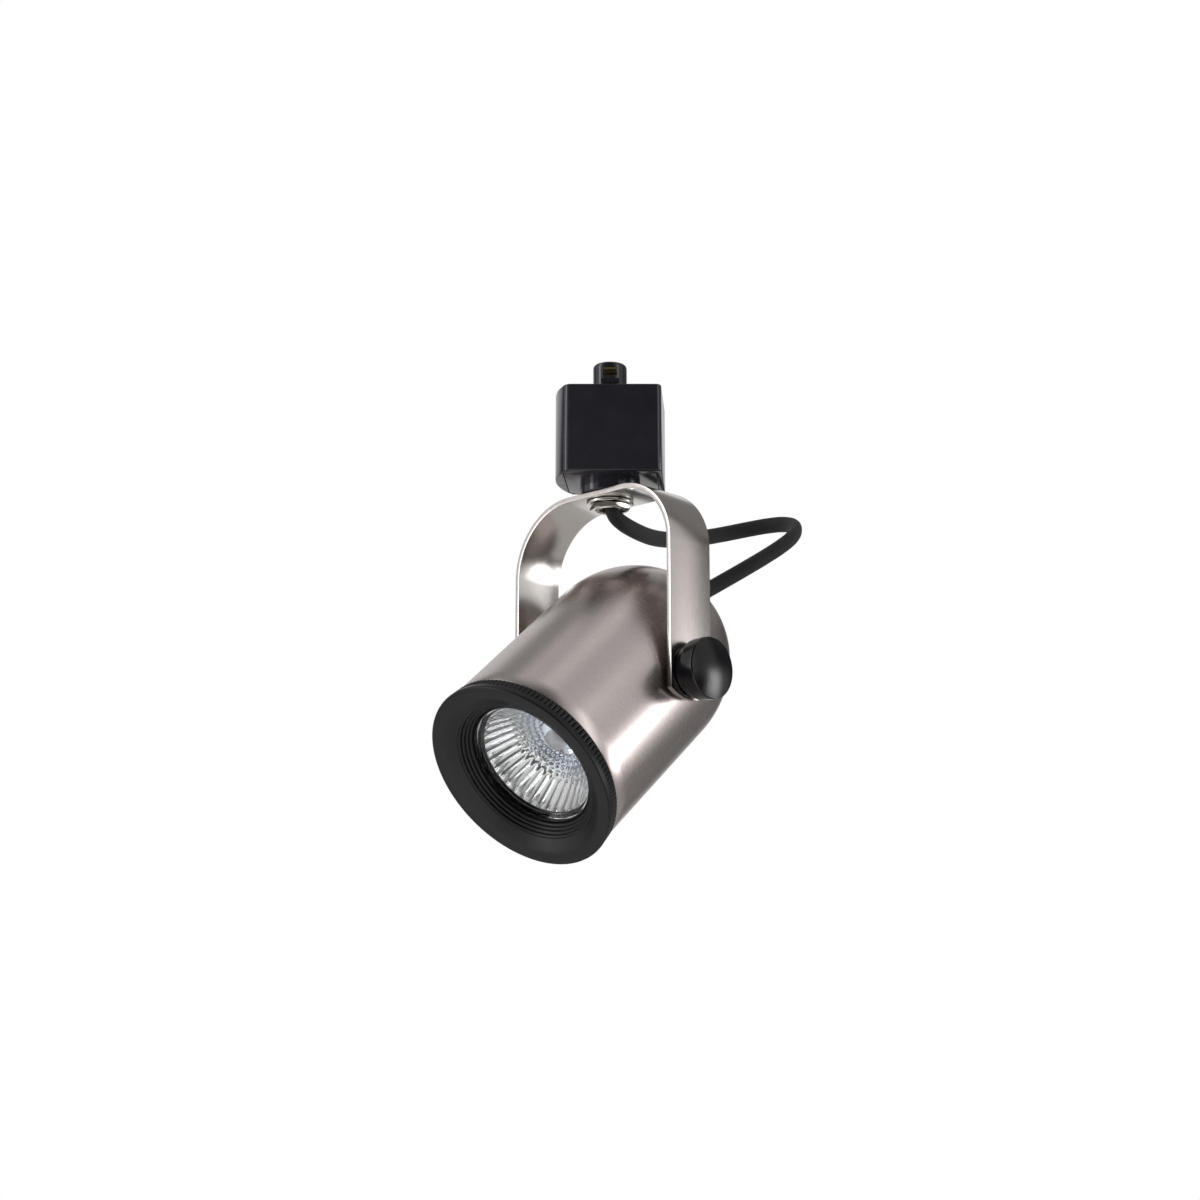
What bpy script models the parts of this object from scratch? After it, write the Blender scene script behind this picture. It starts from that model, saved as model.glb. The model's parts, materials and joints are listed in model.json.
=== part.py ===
"""Track spotlight: a twist-lock track adapter, a friction yoke and a round-back lamp head.

Frame: metres, +Z up, +X along the track. The origin is the centre of the adapter's seat,
the plane that closes on the underside of the track, and it lies on the pan axis.
The yoke turns about Z, the head tilts about the yoke's own X axis.
"""
import math

import bmesh
import bpy
from mathutils import Matrix, Vector

MM = 0.001
GAP = 0.3 * MM              # clearance between touching pieces

# aim at rest
PAN_REST = math.radians(-43.8)      # turn of the tilt axis from the track, seen from above
TILT_REST = math.radians(-50.1)     # head swung forward from straight down

# track adapter
ADAPTER_D = 34.9 * MM       # across the track, flush with its sides
ADAPTER_H = 34.5 * MM
ADAPTER_WALL = 2.0 * MM
SEAM_Y = 3.4 * MM           # joint plane of the two half shells
BOW_CENTRE = (10.9 * MM, -1.6 * MM)     # the housing's left end is an arc, seen from above
BOW_R = 32.0 * MM
SIDE_FRONT_X = 19.4 * MM    # its right side slants from here, at the front,
SIDE_REAR_X = 22.0 * MM     # to here, at the rear
FRONT_CORNER_R = 1.2 * MM
REAR_CORNER_R = 2.0 * MM
PLATE_CORNERS = (           # bottom plate seen from below: one corner is cut off
    (-17.95 * MM, -13.4 * MM), (17.5 * MM, -13.4 * MM), (19.65 * MM, 16.2 * MM),
    (-12.8 * MM, 16.2 * MM), (-16.0 * MM, 13.6 * MM))
PLATE_T = 1.8 * MM
HOUSING_SCREWS = ((-10.5 * MM, -9.5 * MM), (14.5 * MM, -9.5 * MM))     # x, z
HOUSING_BOSS_R = 3.0 * MM
HOUSING_SCREW_R = 1.3 * MM
HOUSING_SCREW_HEAD_R = 2.6 * MM
HEAD_SINK = 2.0 * MM        # depth that the screw heads are sunk to
HUB_R = 11.6 * MM
HUB_BOTTOM = -40.0 * MM
BOSS_TOP = -27.0 * MM       # inner boss of the bottom plate
TURRET_R = 6.6 * MM
TURRET_TOP = 13.0 * MM
TURRET_COLLAR_R = 9.0 * MM
TURRET_COLLAR_LOW = -5.5 * MM
LOCK_LUGS = (7.0 * MM, 22.0 * MM, 2.2 * MM)
LUG_HEIGHT = 3.5 * MM
CHANNEL_R = 4.6 * MM        # hollow inside the turret
BLADE_T = 0.8 * MM
BLADE_REACH = 12.0 * MM
BLADE_FOOT = -8.5 * MM
BLADES = {                  # x of the middle, width, height, side of the track, start from the middle
    "line_contact_blade": (2.0 * MM, 3.2 * MM, 9.6 * MM, 1, 0.5 * MM),
    "neutral_contact_blade": (-2.0 * MM, 3.2 * MM, 6.4 * MM, 1, 0.5 * MM),
    "ground_contact_blade": (0.0, 5.0 * MM, 8.0 * MM, -1, 2.4 * MM),
}
NIPPLE_R = 5.0 * MM         # M10 x 1 lamp nipple
NIPPLE_BORE_R = 4.1 * MM
NIPPLE_TOP = -21.0 * MM
NIPPLE_BOTTOM = -45.5 * MM
WASHER_T = 0.9 * MM
PAN_STOP_R = 7.6 * MM
LOCK_NUT_FLATS = 13.0 * MM
LOCK_NUT_H = 2.7 * MM
YOKE_WASHER_R = 9.1 * MM
YOKE_NUT_FLATS = 14.0 * MM
YOKE_NUT_H = 1.8 * MM

# yoke
YOKE_TOP = -40.3 * MM       # upper face of its top plate
YOKE_HALF_SPAN = 40.8 * MM  # pan axis to a leg's outer face
YOKE_T = 2.0 * MM
YOKE_W = 22.0 * MM
BEND_LEFT_R = 28.5 * MM     # outer radii of the two bends
BEND_RIGHT_R = 25.0 * MM
YOKE_END_R = 19.0 * MM      # arc that ends each leg
PIVOT_Z = -113.8 * MM       # height of the tilt axis
LEG_BOTTOM = -124.4 * MM
PIVOT_SCREW_R = 2.5 * MM    # M5 thumb screws

# lamp head, in its own frame: origin on the tilt axis, +Z towards the round back
CAN_R = 37.3 * MM
CAN_WALL = 1.2 * MM
CAN_FRONT = -55.6 * MM
DOME_START = 14.1 * MM
DOME_H = 41.4 * MM
BUSHING_HOLE_R = 5.0 * MM
BUSHING_NUT_FLATS = 12.5 * MM
BUSHING_NUT_H = 2.4 * MM
PIVOT_NUT_FLATS = 8.0 * MM
PIVOT_NUT_H = 3.6 * MM
FRICTION_R = 6.0 * MM       # fibre washers between can and yoke

# baffle ring
RING_R = 38.3 * MM          # the knurled band tapers from here, at the front,
RING_REAR_R = 37.7 * MM     # to here, next to the can
RING_FRONT = -62.2 * MM
RING_SHOULDER = CAN_FRONT - GAP
FACE_R = 33.7 * MM          # inner edge of the flat face
CONE_R = 28.8 * MM          # inner edge of the smooth cone
CONE_DEPTH = 3.5 * MM
LIP_R = 24.4 * MM           # lamp opening
LIP_DEPTH = 9.1 * MM
GROOVES = 4
SKIRT_TOP = -47.5 * MM
PIN_COUNT = 3               # bayonet pins that hold the ring
PIN_R = 1.2 * MM
PIN_Z = -52.0 * MM
RING_TWIST = math.radians(25)

# lamp: 50 mm reflector lamp with a two-pin twist-lock base
LAMP_R = 25.2 * MM
LAMP_FRONT = RING_FRONT + LIP_DEPTH + 1.1 * MM
LAMP_RIM = LAMP_FRONT + 1.5 * MM        # front of the reflector, behind its cover glass
BOWL_DEPTH = 24.0 * MM
BOWL_WALL = 1.7 * MM
BOWL_STEPS = 5
NECK_R = 8.8 * MM
NECK_BORE_R = 6.4 * MM
NECK_START = LAMP_RIM + BOWL_DEPTH
NECK_END = NECK_START + 8.0 * MM
CAPSULE_SEAT = NECK_END - 6.0 * MM      # the burner stands on the base here
LAMP_BASE_END = -5.0 * MM
LAMP_PIN_SPACING = 10.0 * MM
LAMP_PIN_R = 1.0 * MM
LAMP_TWIST = math.radians(40)
SOCKET_R = 13.5 * MM
SOCKET_FACE = LAMP_BASE_END + 0.6 * MM
SOCKET_TOP = 16.0 * MM
STRAP_W = 14.0 * MM         # socket bracket
STRAP_T = 1.2 * MM
STRAP_HALF = 34.9 * MM
STRAP_LEG_END = -7.0 * MM
SOCKET_SCREW_X = (-9.0 * MM, 9.0 * MM)
GROUND_SCREW_X = 22.0 * MM
SMALL_SCREW_R = 1.5 * MM
SMALL_SCREW_HEAD_R = 2.7 * MM
SMALL_SCREW_HEAD_H = 1.8 * MM

# thumb knobs
KNOB_R = 11.5 * MM
COLLAR_R = 9.4 * MM
KNOB_INNER = YOKE_HALF_SPAN + GAP
COLLAR_END = 44.2 * MM
KNOB_RIM = 50.8 * MM        # edge of the domed face
KNOB_CROWN = 1.6 * MM
KNOB_THREAD_END = 47.3 * MM
KNOB_SCREW_TIP = 27.5 * MM

# supply cable, braided sleeve
CABLE_R = 3.05 * MM
LEAD_R = 0.8 * MM
LEAD_SPREAD = 1.4 * MM      # the leads' distance from the cable's axis where they leave it

COLLECTION = "track_spotlight"
CUTTERS = "cutters"


# ---------------------------------------------------------------- scene set-up

def clear_scene():
    for obj in list(bpy.data.objects):
        bpy.data.objects.remove(obj, do_unlink=True)


def collection(name):
    found = bpy.data.collections.get(name) or bpy.data.collections.new(name)
    if name not in bpy.context.scene.collection.children:
        bpy.context.scene.collection.children.link(found)
    return found


def material(name, colour, roughness, metallic=0.0):
    mat = bpy.data.materials.get(name) or bpy.data.materials.new(name)
    mat.use_nodes = True
    shader = mat.node_tree.nodes["Principled BSDF"]
    shader.inputs["Base Color"].default_value = (*colour, 1.0)
    shader.inputs["Roughness"].default_value = roughness
    shader.inputs["Metallic"].default_value = metallic
    return mat


def gloss_black():
    return material("gloss_black_plastic", (0.012, 0.012, 0.014), 0.12)


def satin_black():
    return material("satin_black_plastic", (0.02, 0.02, 0.022), 0.45)


def matt_black():
    return material("matt_black_paint", (0.022, 0.022, 0.023), 0.6)


def brushed_nickel():
    return material("brushed_nickel", (0.45, 0.41, 0.39), 0.32, 1.0)


def bright_nickel():
    return material("bright_nickel", (0.70, 0.67, 0.62), 0.12, 1.0)


def zinc_steel():
    return material("zinc_plated_steel", (0.55, 0.56, 0.58), 0.3, 1.0)


def brass():
    return material("contact_brass", (0.75, 0.52, 0.22), 0.25, 1.0)


def ceramic():
    return material("white_ceramic", (0.82, 0.80, 0.75), 0.5)


def mirror_glass():
    return material("coated_reflector_glass", (0.75, 0.78, 0.8), 0.08, 0.9)


def clear_glass():
    return material("clear_glass", (0.85, 0.9, 0.9), 0.03)


def tungsten():
    return material("tungsten_wire", (0.4, 0.4, 0.42), 0.35, 1.0)


def braid():
    return material("black_braided_sleeve", (0.015, 0.015, 0.016), 0.75)


def lead_cover(name, colour):
    return material(name, colour, 0.45)


# ---------------------------------------------------------------- shape helpers

def add_object(name, data, mat=None, parent=None, group=COLLECTION):
    obj = bpy.data.objects.new(name, data)
    collection(group).objects.link(obj)
    if mat:
        data.materials.append(mat)
    obj.parent = parent
    return obj


def make_cutter(obj):
    for owner in list(obj.users_collection):
        owner.objects.unlink(obj)
    collection(CUTTERS).objects.link(obj)
    obj.hide_render = True
    obj.display_type = "WIRE"
    return obj


def axis_empty(name, location, rotation=(0, 0, 0), parent=None):
    empty = bpy.data.objects.new(name, None)
    collection(COLLECTION).objects.link(empty)
    empty.parent = parent
    empty.location = location
    empty.rotation_euler = rotation
    empty.empty_display_size = 0.02
    return empty


def smooth(mesh, angle=35):
    mesh.shade_smooth()
    mesh.set_sharp_from_angle(angle=math.radians(angle))


def box(name, size, centre, mat=None, parent=None, bevel=0.0):
    """A block with its size applied, optionally with rounded edges."""
    mesh = bpy.data.meshes.new(name)
    work = bmesh.new()
    bmesh.ops.create_cube(work, size=1.0, matrix=Matrix.Diagonal((*size, 1.0)))
    work.to_mesh(mesh)
    work.free()
    obj = add_object(name, mesh, mat, parent)
    obj.location = centre
    if bevel:
        rounding = obj.modifiers.new("rounded_edges", "BEVEL")
        rounding.width = bevel
        rounding.segments = 2
        rounding.limit_method = "ANGLE"
    return obj


def cylinder(name, radius, z0, z1, mat=None, parent=None, sides=32, centre=(0, 0), turn=None):
    """A round bar from z0 to z1, or along another axis when turn says so."""
    mesh = bpy.data.meshes.new(name)
    work = bmesh.new()
    middle = Matrix.Translation((centre[0], centre[1], (z0 + z1) / 2))
    bmesh.ops.create_cone(work, cap_ends=True, segments=sides, radius1=radius,
                          radius2=radius, depth=abs(z1 - z0), matrix=middle)
    if turn:
        bmesh.ops.transform(work, matrix=turn, verts=work.verts)
    work.to_mesh(mesh)
    work.free()
    smooth(mesh)
    return add_object(name, mesh, mat, parent)


def turned(name, profile, mat=None, parent=None, steps=48, closed=True):
    """A profile of (radius, z) points swept round Z; its outer side runs from top to bottom."""
    mesh = bpy.data.meshes.new(name)
    points = [(r, 0.0, z) for r, z in profile]
    count = len(points)
    edges = [(i, i + 1) for i in range(count - 1)]
    if closed:
        edges.append((count - 1, 0))
    mesh.from_pydata(points, edges, [])
    obj = add_object(name, mesh, mat, parent)
    sweep = obj.modifiers.new("sweep", "SCREW")
    sweep.axis = "Z"
    sweep.steps = steps
    sweep.render_steps = steps
    sweep.use_merge_vertices = True
    sweep.merge_threshold = 0.00001
    sweep.use_smooth_shade = True
    return obj


def arc(centre, radius, start, end, count):
    """Points on an arc; angles in degrees."""
    points = []
    for i in range(count + 1):
        angle = math.radians(start + (end - start) * i / count)
        points.append((centre[0] + radius * math.cos(angle), centre[1] + radius * math.sin(angle)))
    return points


def prism(name, outline, z0, z1, mat=None, parent=None, turn=None):
    """A flat outline (counter-clockwise) raised from z0 to z1."""
    mesh = bpy.data.meshes.new(name)
    work = bmesh.new()
    base = work.faces.new([work.verts.new((x, y, z0)) for x, y in outline])
    grown = bmesh.ops.extrude_face_region(work, geom=[base])
    top = [item for item in grown["geom"] if isinstance(item, bmesh.types.BMVert)]
    bmesh.ops.translate(work, verts=top, vec=(0, 0, z1 - z0))
    if turn:
        bmesh.ops.transform(work, matrix=turn, verts=work.verts)
    bmesh.ops.recalc_face_normals(work, faces=work.faces)
    work.to_mesh(mesh)
    work.free()
    smooth(mesh)
    return add_object(name, mesh, mat, parent)


def combine(obj, other, operation):
    """Boolean; the other object becomes a hidden tool in obj's own frame."""
    other.parent = obj.parent
    other.matrix_parent_inverse = obj.matrix_parent_inverse
    make_cutter(other)
    step = obj.modifiers.new(other.name, "BOOLEAN")
    step.object = other
    step.operation = operation
    step.solver = "EXACT"
    return obj


def cut(obj, *tools):
    for tool in tools:
        combine(obj, tool, "DIFFERENCE")
    return obj


def join(obj, *tools):
    for tool in tools:
        combine(obj, tool, "UNION")
    return obj


def spline_points(route, per_span):
    """A smooth Catmull-Rom curve through the route's points."""
    points = [Vector(p) for p in route]
    ends = [points[0] * 2 - points[1]] + points + [points[-1] * 2 - points[-2]]
    found = []
    for a, b, c, d in zip(ends, ends[1:], ends[2:], ends[3:]):
        for i in range(per_span):
            t = i / per_span
            found.append(0.5 * (2 * b + (c - a) * t + (2 * a - 5 * b + 4 * c - d) * t * t
                                + (3 * b - a - 3 * c + d) * t * t * t))
    found.append(points[-1])
    return found


def wire(name, route, radius, mat, parent=None, per_span=4, resolution=2):
    """A round wire or cable on a smooth route."""
    curve = bpy.data.curves.new(name, "CURVE")
    curve.dimensions = "3D"
    curve.bevel_depth = radius
    curve.bevel_resolution = resolution
    curve.use_fill_caps = True
    points = spline_points(route, per_span)
    spline = curve.splines.new("POLY")
    spline.points.add(len(points) - 1)
    for slot, point in zip(spline.points, points):
        slot.co = (*point, 1.0)
    return add_object(name, curve, mat, parent)


ALONG_X = Matrix.Rotation(math.pi / 2, 4, "Y")      # a shape made along Z points along +X
STAND_UP = Matrix.Rotation(math.pi / 2, 4, "X")     # an X-Y outline stands in the X-Z plane
FACE_REAR = Matrix.Rotation(-math.pi / 2, 4, "X")   # a shape made along Z points along +Y


def across(name, radius, height=0.0):
    """A long round cutter along X that goes through both sides at once."""
    place = Matrix.Translation((0, 0, height)) @ ALONG_X
    return cylinder(name, radius, -50 * MM, 50 * MM, turn=place, sides=24)


# ---------------------------------------------------------------- track adapter

def grown(corners, amount):
    """A convex outline with each edge moved out by the same amount."""
    edges = []
    for i, (x0, y0) in enumerate(corners):
        x1, y1 = corners[(i + 1) % len(corners)]
        length = math.hypot(x1 - x0, y1 - y0)
        nx, ny = (y1 - y0) / length, (x0 - x1) / length
        edges.append((nx, ny, nx * x0 + ny * y0 + amount))
    points = []
    for i, (ax, ay, a) in enumerate(edges):
        bx, by, b = edges[i - 1]
        det = ax * by - ay * bx
        points.append(((a * by - b * ay) / det, (ax * b - bx * a) / det))
    return points


def filleted(corners, radii, count=4):
    """An outline whose corners are rounded; a zero radius leaves a corner as it is."""
    points = []
    for i, corner in enumerate(corners):
        here = Vector(corner)
        before = (Vector(corners[i - 1]) - here).normalized()
        after = (Vector(corners[(i + 1) % len(corners)]) - here).normalized()
        if radii[i] <= 0:
            points.append(corner)
            continue
        half = before.angle(after) / 2
        centre = here + (before + after).normalized() * (radii[i] / math.sin(half))
        first = here + before * (radii[i] / math.tan(half)) - centre
        last = here + after * (radii[i] / math.tan(half)) - centre
        turn = math.atan2(first.cross(last), first.dot(last))
        start = math.atan2(first.y, first.x)
        for step in range(count + 1):
            angle = start + turn * step / count
            points.append((centre.x + radii[i] * math.cos(angle), centre.y + radii[i] * math.sin(angle)))
    return points


def housing_outline(inset=0.0):
    """The housing seen from above: a bowed left end and a slanted right side."""
    front, rear = -ADAPTER_D / 2 + inset, ADAPTER_D / 2 - inset
    radius = BOW_R - inset
    rise = math.degrees(math.asin((rear - BOW_CENTRE[1]) / radius))
    fall = math.degrees(math.asin((BOW_CENTRE[1] - front) / radius))
    bow = arc(BOW_CENTRE, radius, 180 - rise, 180 + fall, 12)
    slope = (SIDE_REAR_X - SIDE_FRONT_X) / ADAPTER_D
    shift = inset * math.hypot(1, slope)
    right_front = SIDE_FRONT_X + slope * inset - shift
    right_rear = SIDE_REAR_X - slope * inset - shift
    corners = bow + [(right_front, front), (right_rear, rear)]
    front_r = max(FRONT_CORNER_R - inset, 0)
    rear_r = max(REAR_CORNER_R - inset, 0)
    return filleted(corners, [0] * (len(bow) - 1) + [front_r, front_r, rear_r])


def housing_half(name, y0, y1):
    """The part of the moulded housing between two planes across it."""
    shell = prism(name, housing_outline(), -ADAPTER_H, 0, gloss_black())
    hollow = prism(name + "_hollow", housing_outline(ADAPTER_WALL), -ADAPTER_H + ADAPTER_WALL, -ADAPTER_WALL)
    opening = prism(name + "_bottom_opening", grown(PLATE_CORNERS, GAP), -ADAPTER_H - MM,
                    -ADAPTER_H + 2 * ADAPTER_WALL)
    stem_hole = cylinder(name + "_stem_hole", TURRET_R + GAP, -2 * ADAPTER_WALL, MM, sides=28)
    cut(shell, hollow, opening, stem_hole)
    keep = box(name + "_keep", (80 * MM, y1 - y0, 80 * MM), (0, (y0 + y1) / 2, -ADAPTER_H / 2))
    combine(shell, keep, "INTERSECT")
    return shell


def make_housing():
    rear_y = ADAPTER_D / 2
    front_y = -rear_y
    seam_rear = SEAM_Y + GAP
    front = housing_half("adapter_front_shell", front_y - MM, SEAM_Y)
    rear = housing_half("adapter_rear_shell", seam_rear, rear_y + MM)
    for i, (x, z) in enumerate(HOUSING_SCREWS):
        place = Matrix.Translation((x, 0, z)) @ FACE_REAR
        tag = "_%d" % i
        join(front, cylinder("front_boss" + tag, HOUSING_BOSS_R, front_y + MM, SEAM_Y, turn=place, sides=20))
        join(rear, cylinder("rear_boss" + tag, HOUSING_BOSS_R, seam_rear, rear_y - MM, turn=place, sides=20))
        cut(front, cylinder("front_pilot" + tag, HOUSING_SCREW_R + GAP, -9 * MM, SEAM_Y + MM,
                            turn=place, sides=16))
        cut(rear, cylinder("rear_way" + tag, HOUSING_SCREW_R + GAP, 0, rear_y + MM, turn=place, sides=16),
            cylinder("rear_sink" + tag, HOUSING_SCREW_HEAD_R + GAP, rear_y - HEAD_SINK, rear_y + MM,
                     turn=place, sides=20))


def make_housing_screws():
    seat = ADAPTER_D / 2 - HEAD_SINK + GAP
    top = seat + 1.6 * MM
    profile = [(0, top), (HOUSING_SCREW_HEAD_R - 0.4 * MM, top), (HOUSING_SCREW_HEAD_R, top - 0.5 * MM),
               (HOUSING_SCREW_HEAD_R, seat), (HOUSING_SCREW_R, seat), (HOUSING_SCREW_R, -7.5 * MM),
               (0, -8.3 * MM)]
    for side, (x, z) in zip(("left", "right"), HOUSING_SCREWS):
        screw = turned("adapter_screw_" + side, profile, zinc_steel(), steps=12, closed=False)
        screw.location = (x, 0, z)
        screw.rotation_euler = (-math.pi / 2, 0, 0)


def make_bottom_plate():
    """Bottom plate with the round hub that the yoke swivels under."""
    plate = prism("adapter_bottom_plate", PLATE_CORNERS, -ADAPTER_H, -ADAPTER_H + PLATE_T, gloss_black())
    boss = turned("plate_boss", [(0, BOSS_TOP), (HUB_R, BOSS_TOP), (HUB_R, HUB_BOTTOM + 0.5 * MM),
                                 (HUB_R - 0.5 * MM, HUB_BOTTOM), (0, HUB_BOTTOM)],
                  steps=36, closed=False)
    join(plate, boss)
    cut(plate, cylinder("nipple_way", NIPPLE_R + GAP, HUB_BOTTOM - MM, BOSS_TOP + MM, sides=28))
    join(plate, box("pan_stop_rib", (1.6 * MM, 2.2 * MM, 3.0 * MM), (0, 9.3 * MM, BOSS_TOP + 1.0 * MM)))


def make_turret():
    """Insulating stem that enters the track, with its two lock lugs."""
    stem = turned("contact_turret", [(0, TURRET_TOP), (TURRET_R - 1.2 * MM, TURRET_TOP),
                                     (TURRET_R, TURRET_TOP - 1.2 * MM), (TURRET_R, -ADAPTER_WALL - GAP),
                                     (TURRET_COLLAR_R, -ADAPTER_WALL - GAP),
                                     (TURRET_COLLAR_R, TURRET_COLLAR_LOW), (0, TURRET_COLLAR_LOW)],
                  gloss_black(), steps=28, closed=False)
    join(stem, box("lock_lugs", LOCK_LUGS, (0, 0, LUG_HEIGHT), bevel=0.5 * MM))
    cut(stem, cylinder("contact_channel", CHANNEL_R, -8 * MM, 11.2 * MM, sides=24))
    for name, (x, width, z, side, _) in BLADES.items():
        cut(stem, box(name + "_slot", (width + 2 * GAP, 8 * MM, BLADE_T + 2 * GAP), (x, side * 6.5 * MM, z)))


def make_blades():
    """Spring blades: a tongue that reaches the conductor and a foot down the stem."""
    for name, (x, width, z, side, offset) in BLADES.items():
        start = side * offset
        y0, y1 = sorted((start, side * BLADE_REACH))
        blade = box(name, (width, y1 - y0, BLADE_T), (x, (y0 + y1) / 2, z), brass())
        foot_y = start + side * BLADE_T / 2
        foot_top = z + BLADE_T * 0.4
        foot = box(name + "_foot", (2.4 * MM, BLADE_T * 0.98, foot_top - BLADE_FOOT),
                   (x, foot_y, (foot_top + BLADE_FOOT) / 2))
        join(blade, foot)


def make_adapter_leads():
    """Three insulated leads from the blades' feet down to the end of the cable."""
    top = BLADE_FOOT - GAP
    feet = [(x, side * (offset + BLADE_T / 2)) for x, _, _, side, offset in BLADES.values()]
    low = NIPPLE_TOP + 2.6 * MM
    colours = {"adapter_lead_line": (0.02, 0.02, 0.02), "adapter_lead_neutral": (0.85, 0.85, 0.82),
               "adapter_lead_ground": (0.03, 0.28, 0.08)}
    for (x, y), angle, (name, colour) in zip(feet, (30, 150, 270), colours.items()):
        angle = math.radians(angle)
        end = (LEAD_SPREAD * math.cos(angle), LEAD_SPREAD * math.sin(angle), low)
        start = (x, y, top)
        middle = ((start[0] + end[0] * 1.6) / 2, (start[1] + end[1] * 1.6) / 2, (top + low) / 2)
        wire(name, [start, (start[0], start[1], top - 2 * MM), middle, end], LEAD_R,
             lead_cover(name + "_cover", colour), per_span=3, resolution=1)


def make_adapter():
    make_housing()
    make_housing_screws()
    make_bottom_plate()
    make_turret()
    make_blades()
    make_adapter_leads()


# ---------------------------------------------------------------- yoke and its swivel

def hexagon(across_flats):
    radius = across_flats / math.sqrt(3)
    return [(radius * math.cos(math.radians(60 * i + 30)), radius * math.sin(math.radians(60 * i + 30)))
            for i in range(6)]


def hex_nut(name, across_flats, bore_r, z0, z1, mat, parent):
    nut = prism(name, hexagon(across_flats), z0, z1, mat, parent)
    flat_r = across_flats / 2 - 0.1 * MM        # the corner chamfers start here on the flat ends
    wide_r = across_flats / math.sqrt(3) + 0.3 * MM
    fall = 0.5 * (wide_r - flat_r)
    taper = turned(name + "_chamfer", [(0, z1 + MM), (flat_r - 2 * MM, z1 + MM), (wide_r, z1 - fall),
                                       (wide_r, z0 + fall), (flat_r - 2 * MM, z0 - MM), (0, z0 - MM)],
                   steps=24, closed=False)
    combine(nut, taper, "INTERSECT")
    cut(nut, cylinder(name + "_bore", bore_r, z0 - 2 * MM, z1 + 2 * MM, sides=20))
    return nut


def ring(name, inner, outer, z0, z1, mat, parent, steps=28):
    return turned(name, [(inner, z1), (outer, z1), (outer, z0), (inner, z0)], mat, parent, steps)


def make_swivel(yoke_axis):
    """Nipple with a flared mouth, its nuts and washers; they turn with the yoke in the hub's bore."""
    profile = [(NIPPLE_BORE_R, NIPPLE_TOP), (NIPPLE_R, NIPPLE_TOP), (NIPPLE_R, NIPPLE_BOTTOM),
               (NIPPLE_R - 0.1 * MM, NIPPLE_BOTTOM), (NIPPLE_BORE_R, NIPPLE_BOTTOM + 2.2 * MM)]
    turned("swivel_nipple", profile, bright_nickel(), yoke_axis, steps=28)
    bore = NIPPLE_R + GAP
    washer_z = BOSS_TOP + GAP
    stop = ring("pan_stop_washer", bore, PAN_STOP_R, washer_z, washer_z + WASHER_T, zinc_steel(), yoke_axis)
    join(stop, box("stop_tab", (2.0 * MM, 4.0 * MM, WASHER_T), (0, -8.4 * MM, washer_z + WASHER_T / 2)))
    lock_z = washer_z + WASHER_T + GAP
    hex_nut("nipple_lock_nut", LOCK_NUT_FLATS, bore, lock_z, lock_z + LOCK_NUT_H, zinc_steel(), yoke_axis)
    under = YOKE_TOP - YOKE_T - GAP
    ring("yoke_washer", bore, YOKE_WASHER_R, under - WASHER_T, under, bright_nickel(), yoke_axis)
    nut_top = under - WASHER_T - GAP
    hex_nut("yoke_nut", YOKE_NUT_FLATS, bore, nut_top - YOKE_NUT_H, nut_top, bright_nickel(), yoke_axis)


def yoke_outline(inset):
    """The strip's edge line in the X-Z plane, from the left leg over the top to the right leg."""
    half = YOKE_HALF_SPAN - inset
    top = YOKE_TOP - inset
    left_r = BEND_LEFT_R - inset
    right_r = BEND_RIGHT_R - inset
    left = arc((-half + left_r, top - left_r), left_r, 180, 90, 10)
    right = arc((half - right_r, top - right_r), right_r, 90, 0, 10)
    return [(-half, LEG_BOTTOM)] + left + right + [(half, LEG_BOTTOM)]


def make_yoke(yoke_axis):
    strip = yoke_outline(0) + list(reversed(yoke_outline(YOKE_T)))
    yoke = prism("yoke", list(reversed(strip)), -YOKE_W / 2, YOKE_W / 2, brushed_nickel(), yoke_axis,
                 STAND_UP)
    centre_z = LEG_BOTTOM + YOKE_END_R
    half = YOKE_W / 2 + MM
    spread = math.degrees(math.asin(half / YOKE_END_R))
    edge = arc((0, centre_z), YOKE_END_R, 270 - spread, 270 + spread, 12)
    below = LEG_BOTTOM - 5 * MM
    side_view = Matrix(((0, 0, 1, 0), (1, 0, 0, 0), (0, 1, 0, 0), (0, 0, 0, 1)))
    ends = prism("leg_ends", edge + [(half, below), (-half, below)], -50 * MM, 50 * MM, turn=side_view)
    nipple_way = cylinder("yoke_nipple_way", NIPPLE_R + GAP, YOKE_TOP - 5 * MM, YOKE_TOP + 5 * MM, sides=28)
    cut(yoke, ends, across("yoke_pivot_ways", PIVOT_SCREW_R + GAP, PIVOT_Z), nipple_way)


# ---------------------------------------------------------------- lamp head

def dome(radius, height, r_end, count):
    """Quarter ellipse from the radius r_end near the top down to the cylinder."""
    first = math.acos(r_end / radius)
    angles = [first * (1 - i / count) for i in range(count + 1)]
    return [(radius * math.cos(angle), DOME_START + height * math.sin(angle)) for angle in angles]


def make_can(head):
    outer = dome(CAN_R, DOME_H, BUSHING_HOLE_R, 9)
    inner = dome(CAN_R - CAN_WALL, DOME_H - CAN_WALL, BUSHING_HOLE_R, 7)
    profile = outer + [(CAN_R, CAN_FRONT), (CAN_R - CAN_WALL, CAN_FRONT)] + list(reversed(inner))
    can = turned("head_can", profile, brushed_nickel(), head, steps=44)
    cut(can, across("can_pivot_ways", PIVOT_SCREW_R + GAP))
    for i in range(PIN_COUNT):
        cut(can, cylinder("can_pin_way_%d" % i, PIN_R + GAP, 30 * MM, 40 * MM, turn=pin_place(i), sides=16))


def pin_place(i):
    """Turns a shape made along Z into the radial direction of bayonet pin i."""
    return Matrix.Rotation(math.tau * i / PIN_COUNT, 4, "Z") @ Matrix.Translation((0, 0, PIN_Z)) @ ALONG_X


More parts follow.
